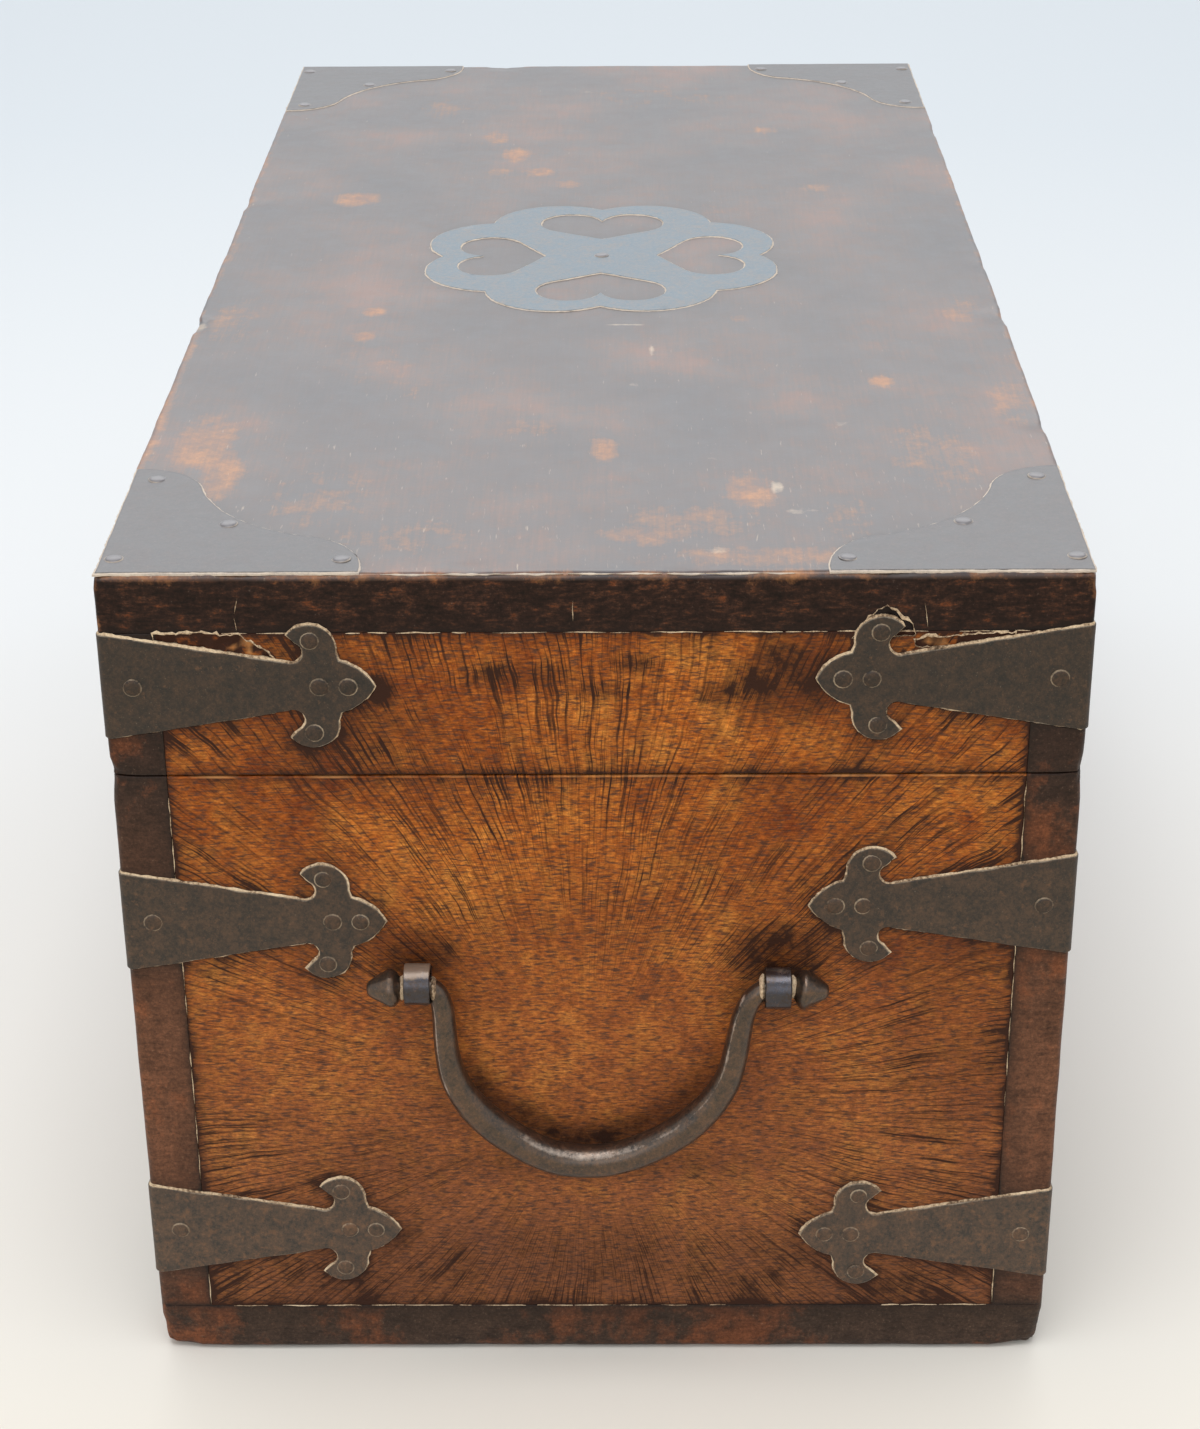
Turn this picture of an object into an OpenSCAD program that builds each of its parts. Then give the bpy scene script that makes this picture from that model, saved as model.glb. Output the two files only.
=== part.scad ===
// Small lift-lid chest: plain butted boards, let-in iron corner straps,
// a pierced rosette on the lid, and a forged bail on each end.
// X runs along the length, the front faces -Y, Z is up, the origin is the
// centre of the underside.

/* [Chest] */
// Length over the two end faces
chest_length = 500; // [420:10:580]
// Width over the front and back faces
chest_width = 240; // [220:5:290]
// Height from the floor to the top of the lid
chest_height = 232; // [222:1:260]
// Height of the lid above the seam
lid_height = 54; // [53:0.5:60]
// Gap that the saw left between lid and body
seam_gap = 0.4; // [0.3:0.1:0.6]

/* [Boards] */
// Thickness of the front and back boards
side_board_t = 14; // [12:0.5:17]
// Thickness of the end boards
end_board_t = 14; // [12:0.5:17]
// Thickness of the top board
top_board_t = 15.5; // [13:0.5:18]
// Thickness of the bottom board
bottom_board_t = 15; // [13:0.5:18]
// Rounding of the four upright corners
corner_ease = 1.6; // [0.8:0.1:2]
// Rounding of the edges round the top
top_ease = 1.2; // [0.6:0.1:1.6]
// Rounding of the edges round the underside
bottom_ease = 2.4; // [1:0.2:3.2]

/* [Corner straps] */
// Thickness of the strap iron
strap_t = 1.2; // [1:0.1:1.8]
// How far a strap stands out of the wood
strap_proud = 0.5; // [0.3:0.1:0.8]
// Reach of each arm from the corner to its tip
strap_reach = 66.5; // [62:0.5:74]
// Width of the strap where it wraps the corner
strap_root = 27.8; // [22:0.2:30]
// Length of the trefoil head
head_length = 21.5; // [18:0.5:24]
// Width over the two side lobes of the head
head_width = 33; // [28:0.5:35]
// Axis of a lid strap below the top, front corners
lid_strap_drop_front = 28; // [27:0.5:32]
// Axis of a lid strap below the top, back corners
lid_strap_drop_back = 29.7; // [27:0.1:32]
// Axis of a middle strap below the top of the body, front corners
mid_strap_drop_front = 37.1; // [30:0.1:45]
// Axis of a middle strap below the top of the body, back corners
mid_strap_drop_back = 41.4; // [30:0.1:45]
// Axis of a low strap above the floor, front corners
low_strap_rise_front = 38.9; // [36:0.1:45]
// Axis of a low strap above the floor, back corners
low_strap_rise_back = 40.6; // [36:0.1:45]
// Root nail of the arm on an end face, from the corner
root_nail = 7.5; // [6:0.5:10]

/* [Top ironwork] */
// Thickness of the flat iron on the lid
plate_t = 1; // [0.8:0.1:1.4]
// How far the flat iron stands out of the wood
plate_proud = 0.3; // [0.1:0.1:0.5]
// Reach of a corner plate along the length
plate_reach_length = 68; // [58:1:78]
// Reach of a corner plate across the width
plate_reach_width = 63.6; // [55:0.2:72]
// Corner plate set in from the edge
plate_inset = 0.8; // [0.5:0.1:1.5]
// Radius of the rosette over its lobes
rosette_r = 57.5; // [48:0.5:64]
// Heart point from the centre of the rosette
heart_point = 17.5; // [15:0.5:19]
// Centre of the heart's round lobes from the centre of the rosette
heart_centre = 35; // [33:0.5:37]
// Radius of the heart's round lobes
heart_lobe_r = 10.2; // [8.6:0.1:11]

/* [Nails] */
// Diameter of a nail head
nail_head_d = 4.4; // [3.6:0.1:5]
// Height of the domed head
nail_head_h = 0.55; // [0.3:0.05:0.9]
// Diameter of the nail shank
nail_d = 1.8; // [1.4:0.1:2.2]
// Length of the nail below its head
nail_l = 9; // [7:0.5:10]
// Length of the nails through the bottom board
bottom_nail_l = 28; // [24:1:30]
// Diameter of the sunk head of a bottom nail
sunk_head_d = 5; // [4:0.2:6]

/* [End bails] */
// Height of the eyes above the floor
eye_z = 122; // [110:1:128]
// Distance between the centres of the two eyes
eye_spacing = 91.2; // [84:0.2:100]
// Width of the strip that the eye is bent from
eye_w = 6.5; // [5.5:0.1:8]
// Thickness of the strip
eye_strip_t = 1.2; // [1:0.1:1.4]
// Inside diameter of the eye's loop
eye_inner_d = 8.2; // [7.4:0.1:9]
// Centre of the loop from the end face
eye_standoff = 7; // [6.6:0.1:8]
// Length of each clinched tail inside the chest
eye_tail_l = 12; // [8:0.5:16]
// Diameter of the bail where it runs in the eyes
journal_d = 5.5; // [5:0.1:6]
// Drop of the grip's centre line below the pivot
bail_drop = 53; // [50:1:58]
// Straight part of the legs below the pivot
bail_leg = 20; // [16:1:24]
// Diameter at the middle of the grip
grip_d = 9; // [7.5:0.1:9.6]
// Diameter of the legs below the elbow
leg_d = 5.9; // [5.4:0.1:6.4]
// Bend radius of the elbow
elbow_r = 3.4; // [3.3:0.1:4.5]
// Widest diameter of the finial outside the eye
finial_d = 10.6; // [8:0.2:11]
// Length of the finial
finial_l = 9.4; // [7:0.2:12]

/* [Hinges] */
// Distance of each hinge from the middle of the chest
hinge_x = 120; // [80:1:126]
// Length of the barrel
hinge_w = 34; // [28:1:38]
// Diameter of the barrel
barrel_d = 6.8; // [6.4:0.1:7.4]
// Diameter of the hinge pin
pin_d = 4; // [3.4:0.1:4.2]
// Length of the barrel's middle knuckle
knuckle_l = 14; // [10:0.5:16]
// Thickness of the hinge leaves
leaf_t = 1.6; // [1.3:0.1:1.9]
// Reach of the leaf on the lid
lid_leaf_reach = 36; // [33:0.5:36.5]
// Reach of the leaf on the body
body_leaf_reach = 50; // [42:1:60]
// Size of the leaf's head against the strap's head
leaf_head_scale = 0.75; // [0.65:0.05:0.8]

/* [Lock] */
// Radius of the keyhole plate over its lobes
keyplate_r = 20; // [17:0.5:23]
// Centre of the keyhole below the top of the body
keyhole_drop = 24; // [22:0.5:25]
// Diameter of the round part of the keyhole
keyhole_d = 5; // [4:0.2:6]
// Width of the lock case
lock_w = 52; // [48:1:60]
// Height of the lock case
lock_h = 36; // [34:1:42]
// Depth of the mortise for the lock case
lock_depth = 9; // [8:0.2:9.6]
// Thickness of the lock case walls
lock_wall = 1.4; // [1.2:0.1:1.6]
// Height of the bolt
bolt_h = 6; // [5:0.2:7]
// Travel of the bolt
bolt_throw = 8; // [6:0.2:8.4]
// Thickness of the hook that drops into the lock
hook_t = 3; // [2.4:0.1:3.2]
// Thickness of the plate that carries the hook
hook_plate_t = 1.6; // [1.2:0.1:2]

/* [Fits] */
// Gap round iron that is let into wood
inlay_gap = 0.3; // [0.2:0.05:0.4]
// Gap round a nail shank, on the radius
nail_gap = 0.15; // [0.1:0.05:0.25]
// Running fit of the hinge pins, on the radius
pin_fit = 0.05; // [0.03:0.01:0.08]
// Play of the bail's journal at the bottom of its eye
journal_play = 0.1; // [0.05:0.05:0.2]
// Gap between sliding or turning faces
slide_gap = 0.3; // [0.25:0.05:0.4]

/* [Hidden] */
$fn = 32;

LEFT = -1;
RIGHT = 1;
FRONT = -1;
BACK = 1;
SIDES = [LEFT, RIGHT];
FACES = [FRONT, BACK];

lid_bottom = chest_height - lid_height;
body_top = lid_bottom - seam_gap;
seam_z = (lid_bottom + body_top) / 2;
lid_board_z = chest_height - top_board_t;
inner_width = chest_width - 2 * side_board_t;
half_length = chest_length / 2;
half_width = chest_width / 2;
let_in = strap_t - strap_proud;
nail_r = nail_d / 2;
hole_r = nail_r + nail_gap;
cut_out = 2; // how far every cutter runs out past the wood
strap_colour = [0.2, 0.18, 0.16];

// ---- outlines -------------------------------------------------------------

// Points along a circular arc about c
function arc(c, r, from, to, steps) =
    [for (i = [0:steps]) let (a = from + (to - from) * i / steps) c + r * [cos(a), sin(a)]];

// Circular arc from p to q that stands sag out to the left of the way from p to q
function bow(p, q, sag, steps) =
    let (along = (q - p) / norm(q - p), out = [-along.y, along.x] * sign(sag))
    let (rise = abs(sag), half = norm(q - p) / 2, r = (half * half + rise * rise) / (2 * rise))
    let (c = (p + q) / 2 - out * (r - rise), reach = asin(half / r))
    [for (i = [0:steps]) let (a = reach * (2 * i / steps - 1)) c + r * (out * cos(a) + along * sin(a))];

// All but the last point
function but_last(points) = [for (i = [0:len(points) - 2]) points[i]];

// An outline drawn anticlockwise, moved outwards by d
function outset(points, d) =
    let (n = len(points))
    [for (i = [0:n - 1])
        let (a = points[(i + n - 1) % n], b = points[i], c = points[(i + 1) % n])
        let (u = (b - a) / norm(b - a), v = (c - b) / norm(c - b))
        b + d * [u.y + v.y, -u.x - v.x] / max(0.6, 1 + u * v)];

// Rectangle about the origin with rounded corners
function round_rect(l, w, r) =
    [for (q = [[1, 1, 0], [-1, 1, 90], [-1, -1, 180], [1, -1, 270]])
        each arc([q.x * (l / 2 - r), q.y * (w / 2 - r)], r, q.z, q.z + 90, 4)];

// The chest seen from above, grown by g
function plan(g) = round_rect(chest_length + 2 * g, chest_width + 2 * g, corner_ease + g);

// Trefoil head, upper half from neck to tip, drawn for a head 21.5 long and 33 wide
head_drawn = [21.5, 16.5];
hollow = [1.4, 9.1, 2.9]; // centre and radius of the hollow behind the side lobe
lobe = [5.9, 10.1, 6.4]; // centre and radius of the side lobe
cusp = [13, 7]; // where the side lobe meets the pointed end
tip_bow = 1.2; // fullness of the pointed end
head_half = concat(
    arc([hollow.x, hollow.y], hollow.z, -115, 65, 6),
    arc([lobe.x, lobe.y], lobe.z, 144.5, -8, 9),
    bow(cusp, [head_drawn.x, 0], tip_bow, 4)
);
head_nails = [[8, 0], [15, 0], [6.2, 12.4], [6.2, -12.4]];

// A point of the drawn head at its place on an arm
function on_head(p, reach, k) =
    [reach - k * head_length * (1 - p.x / head_drawn.x), k * p.y * head_width / 2 / head_drawn.y];

// Arm with a trefoil head: u runs from the foot to the shoulder, where it starts to taper, and the tip
function arm(reach, root, k, foot, shoulder) =
    let (upper = concat(
        foot < shoulder ? [[foot, root / 2]] : [], [[shoulder, root / 2]],
        [for (p = head_half) on_head(p, reach, k)]))
    concat([for (p = upper) [p.x, -p.y]], [for (i = [len(upper) - 2:-1:0]) upper[i]]);

// Flat corner plate: a runs along the length, b across the width
plate_turn_a = [0.82, 0.3]; // where its edge turns from hollow to full, as shares of the reaches
plate_turn_b = [0.32, 0.83];
plate_hollow = 3.6; // depth of the two hollows
plate_belly = 7; // fullness between them
function plate_outline() =
    let (turn_a = [plate_turn_a.x * plate_reach_length, plate_turn_a.y * plate_reach_width])
    let (turn_b = [plate_turn_b.x * plate_reach_length, plate_turn_b.y * plate_reach_width])
    concat(
        [[plate_inset, plate_inset]],
        but_last(bow([plate_reach_length, plate_inset], turn_a, -plate_hollow, 5)),
        but_last(bow(turn_a, turn_b, plate_belly, 7)),
        bow(turn_b, [plate_inset, plate_reach_width], -plate_hollow, 5)
    );
plate_nails = [
    [9, 4], [0.45 * plate_reach_length, 0.456 * plate_reach_width],
    [8.5, plate_reach_width - 4.6], [plate_reach_length - 7.5, 7]
];

// Rosette with eight equal lobes
function rosette(r) =
    let (cusp_r = 0.87 * r, lobe_rise = 0.197 * r)
    let (cusps = [for (a = [0:45:360]) cusp_r * [cos(a), sin(a)]])
    [for (i = [0:7]) each but_last(bow(cusps[i], cusps[i + 1], -lobe_rise, 8))];

// Heart whose point faces the centre of the rosette, drawn along the first axis
heart_overlap = 0.3; // how far its two round lobes overlap
function heart() =
    let (side = heart_lobe_r - heart_overlap, reach = norm([heart_centre - heart_point, side]))
    let (start = 180 + atan2(side, heart_centre - heart_point) - acos(heart_lobe_r / reach))
    let (half = arc([heart_centre, side], heart_lobe_r, start, -asin(side / heart_lobe_r), 9))
    concat([[heart_point, 0]], [for (p = half) [p.x, -p.y]], [for (i = [len(half) - 2:-1:0]) half[i]]);

// ---- places ---------------------------------------------------------------

// Draws its children, made for the right back corner, at the corner asked for
module at_corner(x_side, y_side)
    mirror([x_side < 0 ? 1 : 0, 0, 0]) mirror([0, y_side < 0 ? 1 : 0, 0]) children();

// Draws its children, made for the right half, at the side asked for
module at_side(x_side) mirror([x_side < 0 ? 1 : 0, 0, 0]) children();

function lid_strap_z(y_side) =
    chest_height - (y_side < 0 ? lid_strap_drop_front : lid_strap_drop_back);
function middle_strap_z(y_side) =
    body_top - (y_side < 0 ? mid_strap_drop_front : mid_strap_drop_back);
function low_strap_z(y_side) = y_side < 0 ? low_strap_rise_front : low_strap_rise_back;

// ---- nails ----------------------------------------------------------------

hole_spare = 0.5; // depth of a hole past the end of its nail
rim_h = 0.55 * nail_head_h; // height of the head's rim
crown_d = 0.66 * nail_head_d; // diameter of the head's crown

// Nail with a low crowned head, seated at z = 0
module nail(l) {
    translate([0, 0, -l]) cylinder(r = nail_r, h = l);
    cylinder(d = nail_head_d, h = rim_h);
    cylinder(d = crown_d, h = nail_head_h);
}

// Nail whose head lies flush in a countersink, with its top at z = 0
module sunk_nail(l, head_d) {
    sink = head_d / 2 - nail_r;
    rotate_extrude() polygon([[0, -l], [nail_r, -l], [nail_r, -sink], [head_d / 2, 0], [0, 0]]);
}

// Hole for a nail, open above z = 0
module nail_hole(l) translate([0, 0, -l - hole_spare]) cylinder(r = hole_r, h = l + hole_spare + cut_out);

// Hole with a countersink for a sunk nail
module sunk_hole(l, head_d) {
    sink = head_d / 2 - nail_r;
    bottom = -l - hole_spare;
    wide = head_d / 2 + nail_gap;
    rotate_extrude() polygon([
        [0, bottom], [hole_r, bottom], [hole_r, -sink], [wide, 0], [wide, cut_out], [0, cut_out]
    ]);
}

// ---- corner straps --------------------------------------------------------

strap_head_nails = [for (p = head_nails) on_head(p, strap_reach, 1)];
end_arm_nails = concat([[root_nail, 0]], strap_head_nails);
// The root nail of the side arm passes behind the point of the end arm's root nail
side_root_nail = nail_l + 4.5;
side_arm_nails = concat([[side_root_nail, 0]], strap_head_nails);

// Both arms as flat plates from the let-in depth outwards, for the right back corner
module strap_arms(z, grow) {
    outline = outset(arm(strap_reach, strap_root, 1, -cut_out, 0), grow);
    depth = let_in + cut_out;
    translate([half_length - let_in, half_width, z])
        rotate([90, 0, 90]) mirror([1, 0, 0]) linear_extrude(depth) polygon(outline);
    translate([half_length, half_width - let_in, z])
        rotate([90, 0, 180]) linear_extrude(depth) polygon(outline);
}

// Puts its children on every nail place of a strap, pointing out of the chest
module at_strap_nails(z) {
    for (p = end_arm_nails)
        translate([half_length + strap_proud, half_width - p.x, z + p.y]) rotate([0, 90, 0]) children();
    for (p = side_arm_nails)
        translate([half_length - p.x, half_width + strap_proud, z + p.y]) rotate([-90, 0, 0]) children();
}

module strap(x_side, y_side, z) color(strap_colour) at_corner(x_side, y_side) difference() {
    intersection() {
        translate([0, 0, z - head_width]) linear_extrude(2 * head_width) polygon(plan(strap_proud));
        strap_arms(z, 0);
    }
    at_strap_nails(z) nail_hole(nail_l);
}

// Wood cut away for one strap and its nails
module strap_cut(x_side, y_side, z) at_corner(x_side, y_side) {
    strap_arms(z, inlay_gap);
    at_strap_nails(z) nail_hole(nail_l);
}

module strap_nails(x_side, y_side, z) at_corner(x_side, y_side) at_strap_nails(z) nail(nail_l);

// ---- flat iron on the lid -------------------------------------------------

plate_floor = chest_height + plate_proud - plate_t;

module at_plate_nails() for (p = plate_nails)
    translate([half_length - p.x, half_width - p.y, chest_height + plate_proud]) children();

module top_plate(x_side, y_side) color([0.24, 0.22, 0.22]) at_corner(x_side, y_side) difference() {
    translate([half_length, half_width, plate_floor])
        rotate([0, 0, 180]) linear_extrude(plate_t) polygon(plate_outline());
    at_plate_nails() nail_hole(nail_l);
}

module top_plate_cut(x_side, y_side) at_corner(x_side, y_side) {
    translate([half_length, half_width, plate_floor])
        rotate([0, 0, 180]) linear_extrude(cut_out) polygon(outset(plate_outline(), inlay_gap));
    at_plate_nails() nail_hole(nail_l);
}

module rosette_shape(height, grow) difference() {
    linear_extrude(height) polygon(outset(rosette(rosette_r), grow));
    for (turn = [0:90:270]) rotate([0, 0, turn]) translate([0, 0, -1])
        linear_extrude(height + 2) polygon(outset(heart(), -grow));
}

module top_rosette() color([0.27, 0.31, 0.33]) difference() {
    translate([0, 0, plate_floor]) rosette_shape(plate_t, 0);
    translate([0, 0, chest_height + plate_proud]) nail_hole(nail_l);
}

// ---- bails and their eyes -------------------------------------------------

pivot_x = half_length + eye_standoff;
pivot_z = eye_z - eye_inner_d / 2 + journal_d / 2 + journal_play;
eye_y = eye_spacing / 2;
eye_r = eye_inner_d / 2 + eye_strip_t;
leg_y = eye_y - eye_w / 2 - leg_d / 2 - slide_gap;
bail_sides = 14;
neck_d = 0.96 * journal_d; // diameter where the elbow leaves the journal

// Half of the bail's centre line as [y, z, diameter], from the eye to the bottom of the grip
grip_rise = bail_drop - bail_leg;
grip_power = 0.93; // below 1 the grip's curve is squarer than an ellipse
swell_power = 1.5; // how late the leg swells into the grip
bail_half = concat(
    [[eye_y - eye_w / 4, pivot_z, neck_d]],
    [for (i = [0:4]) let (a = 90 * i / 4)
        [leg_y + elbow_r * (1 - sin(a)), pivot_z - elbow_r * (1 - cos(a)),
         neck_d + (leg_d - neck_d) * i / 4]],
    [[leg_y, pivot_z - (elbow_r + bail_leg) / 2, leg_d]],
    [for (i = [0:12]) let (a = 90 * i / 12)
        [leg_y * pow(cos(a), grip_power), pivot_z - bail_leg - grip_rise * pow(sin(a), grip_power),
         leg_d + (grip_d - leg_d) * pow(sin(a), swell_power)]]
);
bail_line = concat(
    bail_half,
    [for (i = [len(bail_half) - 2:-1:0]) let (p = bail_half[i]) [-p.x, p.y, p.z]]
);

// Solid tube along a line of [y, z, diameter] that lies in the plane x = 0
module tube_in_plane(line) {
    n = len(line);
    rings = [for (i = [0:n - 1])
        let (a = line[max(i - 1, 0)], b = line[min(i + 1, n - 1)], l = norm([b.x - a.x, b.y - a.y]))
        let (across = [-(b.y - a.y) / l, (b.x - a.x) / l])
        [for (k = [0:bail_sides - 1]) let (t = 360 * k / bail_sides, r = line[i].z / 2)
            [-r * sin(t), line[i].x + r * cos(t) * across.x, line[i].y + r * cos(t) * across.y]]];
    skin = [for (i = [0:n - 2], k = [0:bail_sides - 1])
        let (next = (k + 1) % bail_sides, base = i * bail_sides)
        [base + k, base + next, base + bail_sides + next, base + bail_sides + k]];
    ends = [[for (k = [bail_sides - 1:-1:0]) k], [for (k = [0:bail_sides - 1]) (n - 1) * bail_sides + k]];
    polyhedron([for (ring = rings) each ring], concat(skin, ends));
}

// Profile of the finial as shares of its radius and length
finial_drawn = [[0.62, 0], [1, 0.2], [0.86, 0.36], [0.36, 0.94], [0.2, 1], [0, 1]];

// Journal and finial at one end of the bail, its axis along Z from the inside outwards
module bail_end() {
    journal_r = journal_d / 2;
    collar = eye_w / 2 + slide_gap;
    rotate_extrude() polygon(concat(
        [[0, -eye_w / 2], [journal_r, -eye_w / 2], [journal_r, collar]],
        [for (p = finial_drawn) [p.x * finial_d / 2, collar + p.y * finial_l]]
    ));
}

module bail(x_side) color([0.3, 0.26, 0.23]) at_side(x_side) translate([pivot_x, 0, 0]) {
    tube_in_plane(bail_line);
    for (y_side = FACES) translate([0, y_side * eye_y, pivot_z]) rotate([-90 * y_side, 0, 0]) bail_end();
}

// Cotter eye: a loop of strip with both ends through the board and clinched inside
module bail_eye(x_side, y_side) color([0.42, 0.4, 0.38]) at_side(x_side)
    translate([half_length, y_side * eye_y, eye_z]) difference() {
        union() {
            translate([eye_standoff, 0, 0]) rotate([90, 0, 0])
                cylinder(r = eye_r, h = eye_w, center = true);
            translate([-end_board_t - eye_strip_t, -eye_w / 2, -eye_strip_t])
                cube([end_board_t + eye_strip_t + eye_standoff, eye_w, 2 * eye_strip_t]);
            translate([-end_board_t - eye_strip_t, -eye_w / 2, -eye_tail_l])
                cube([eye_strip_t, eye_w, 2 * eye_tail_l]);
        }
        translate([eye_standoff, 0, 0]) rotate([90, 0, 0])
            cylinder(d = eye_inner_d, h = eye_w + 2 * cut_out, center = true);
    }

// Slots through the end board for the strip of both eyes
module eye_slots(x_side) at_side(x_side) for (y_side = FACES)
    translate([half_length - end_board_t / 2, y_side * eye_y, eye_z]) cube(
        [end_board_t + 2 * cut_out, eye_w + 2 * nail_gap, 2 * (eye_strip_t + nail_gap)], center = true);

// ---- hinges ---------------------------------------------------------------

barrel_r = barrel_d / 2;
barrel_gap = 0.4; // between the barrel and the back face
hinge_y = half_width + barrel_r + barrel_gap;
leaf_proud = leaf_t - let_in;
outer_knuckle = (hinge_w - knuckle_l) / 2 - slide_gap;
leaf_clear = barrel_r + barrel_gap; // height of a leaf's notch beside the other leaf's knuckle
web_top = leaf_clear + 0.6; // height of the web that joins a knuckle to its leaf
foot_nail = [9, 8]; // place of the nails at the foot of a leaf, on both sides of its axis
function leaf_nails(reach) = concat(
    [foot_nail, [foot_nail.x, -foot_nail.y]],
    [for (i = [0, 2, 3]) on_head(head_nails[i], reach, leaf_head_scale)]
);

// Leaf outline standing on the hinge line, head upwards
module leaf_plate(reach, grow, depth, foot)
    translate([0, half_width - let_in, 0]) rotate([90, 0, 180]) linear_extrude(depth)
        polygon([
            for (p = outset(arm(reach, hinge_w, leaf_head_scale, foot, leaf_clear), grow)) [p.y, p.x]
        ]);

// One knuckle with the web that joins it to its leaf
module knuckle(from, l) translate([from, 0, 0]) rotate([90, 0, 90]) {
    translate([hinge_y, 0, 0]) cylinder(r = barrel_r, h = l);
    linear_extrude(l) polygon([
        [half_width - let_in, seam_gap / 2], [hinge_y, seam_gap / 2], [hinge_y, barrel_r],
        [half_width + leaf_proud, web_top], [half_width - let_in, web_top]
    ]);
}

module pin_bore() translate([-hinge_w, hinge_y, 0]) rotate([0, 90, 0])
    cylinder(r = pin_d / 2 + pin_fit, h = 2 * hinge_w);

module at_leaf_nails(reach) for (p = leaf_nails(reach))
    translate([p.y, half_width + leaf_proud, p.x]) rotate([-90, 0, 0]) children();

// A leaf standing up from the hinge line; each span is a knuckle's start and length
module leaf(reach, spans) difference() {
    union() {
        leaf_plate(reach, 0, leaf_t, leaf_clear);
        for (s = spans) knuckle(s.x, s.y);
    }
    pin_bore();
    at_leaf_nails(reach) nail_hole(nail_l);
}

lid_spans = [[-knuckle_l / 2, knuckle_l]];
body_spans = [[-hinge_w / 2, outer_knuckle], [hinge_w / 2 - outer_knuckle, outer_knuckle]];

// Draws its children, made standing up from the hinge line, on the lid or hanging on the body
module at_hinge(x_side, up) translate([x_side * hinge_x, 0, seam_z]) mirror([0, 0, up ? 0 : 1]) children();

module hinge_lid_leaf(x_side) color(strap_colour) at_hinge(x_side, true)
    leaf(lid_leaf_reach, lid_spans);

module hinge_body_leaf(x_side) color(strap_colour) at_hinge(x_side, false)
    leaf(body_leaf_reach, body_spans);

// Pin riveted over at both ends: the rivet's profile as shares of the barrel's radius, and its height
rivet_drawn = [[0.8, 0], [0.8, 0.7], [0.6, 1.3], [0, 1.3]];
module hinge_pin(x_side) color([0.35, 0.33, 0.31]) at_hinge(x_side, true)
    translate([0, hinge_y, 0]) rotate([0, 90, 0]) rotate_extrude() polygon(concat(
        [for (i = [3:-1:0]) [rivet_drawn[i].x * barrel_r, -hinge_w / 2 - rivet_drawn[i].y]],
        [[pin_d / 2, -hinge_w / 2], [pin_d / 2, hinge_w / 2]],
        [for (p = rivet_drawn) [p.x * barrel_r, hinge_w / 2 + p.y]]
    ));

// Wood cut away for one leaf and its nails
module leaf_cut(x_side, up, reach) at_hinge(x_side, up) {
    leaf_plate(reach, inlay_gap, leaf_t + cut_out, -cut_out);
    at_leaf_nails(reach) nail_hole(nail_l);
}

// ---- lock -----------------------------------------------------------------

keyhole_z = body_top - keyhole_drop;
board_inside = -half_width + side_board_t;
lock_front = board_inside - lock_depth; // outer face of the case, inside the front board
lock_inner = lock_depth - lock_wall; // depth of the room inside the case
lock_flange = 6; // back plate past the case on each side
back_plate_t = 1.2;
back_plate_below = 3; // back plate below the case
back_plate_top = 0.6; // back plate below the top of the body
bolt_drop = 8; // bottom of the bolt below the top wall of the case
bolt_bottom = body_top - lock_wall - bolt_drop;
bolt_nose = 0.2; // right end of the bolt when it is drawn back
bolt_l = lock_w / 2 - lock_wall + bolt_nose - 2 * slide_gap;
ledge_t = 1.5; // ledge that the bolt slides on
ledge_short = 3; // how far the ledge stops short of the middle
hook_post = [bolt_nose + bolt_throw + slide_gap, 4]; // place and width of the hook's post
hook_right = hook_post.x + hook_post.y;
hook_foot = bolt_nose + 0.8; // left end of the hook's foot
hook_top = bolt_bottom - slide_gap; // top of the hook's foot
hook_bottom = hook_top - 4;
hook_mid_y = lock_front + lock_wall + lock_inner / 2;
hook_clear = 0.8; // room round the hook in its slot

module keyhole_prism(y_from, y_to)
    translate([0, y_to, keyhole_z]) rotate([90, 0, 0]) linear_extrude(y_to - y_from) {
        slot_w = 0.44 * keyhole_d;
        slot_l = 1.7 * keyhole_d;
        circle(d = keyhole_d);
        translate([-slot_w / 2, -slot_l]) square([slot_w, slot_l]);
    }

keyplate_nail_l = side_board_t - lock_depth - 0.8; // stops short of the lock case
keyplate_nail_r = 0.72 * keyplate_r;
module at_keyplate_nails() translate([0, -half_width - strap_proud, keyhole_z]) rotate([90, 0, 0])
    for (turn = [45:90:315]) rotate([0, 0, turn]) translate([keyplate_nail_r, 0, 0]) children();

module keyplate_blank(grow, depth) translate([0, -half_width + let_in, keyhole_z])
    rotate([90, 0, 0]) linear_extrude(depth) polygon(outset(rosette(keyplate_r), grow));

module keyhole_plate() color(strap_colour) difference() {
    keyplate_blank(0, strap_t);
    keyhole_prism(-half_width - cut_out, -half_width + cut_out);
    at_keyplate_nails() nail_hole(keyplate_nail_l);
}

lock_nail_l = 8;
lock_nail_inset = 7; // lock nails from the top and bottom of the case
module at_lock_nails() for (x_side = SIDES, drop = [lock_nail_inset, lock_h - lock_nail_inset])
    translate([x_side * (lock_w / 2 + lock_flange / 2), board_inside + back_plate_t, body_top - drop])
        rotate([-90, 0, 0]) children();

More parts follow.
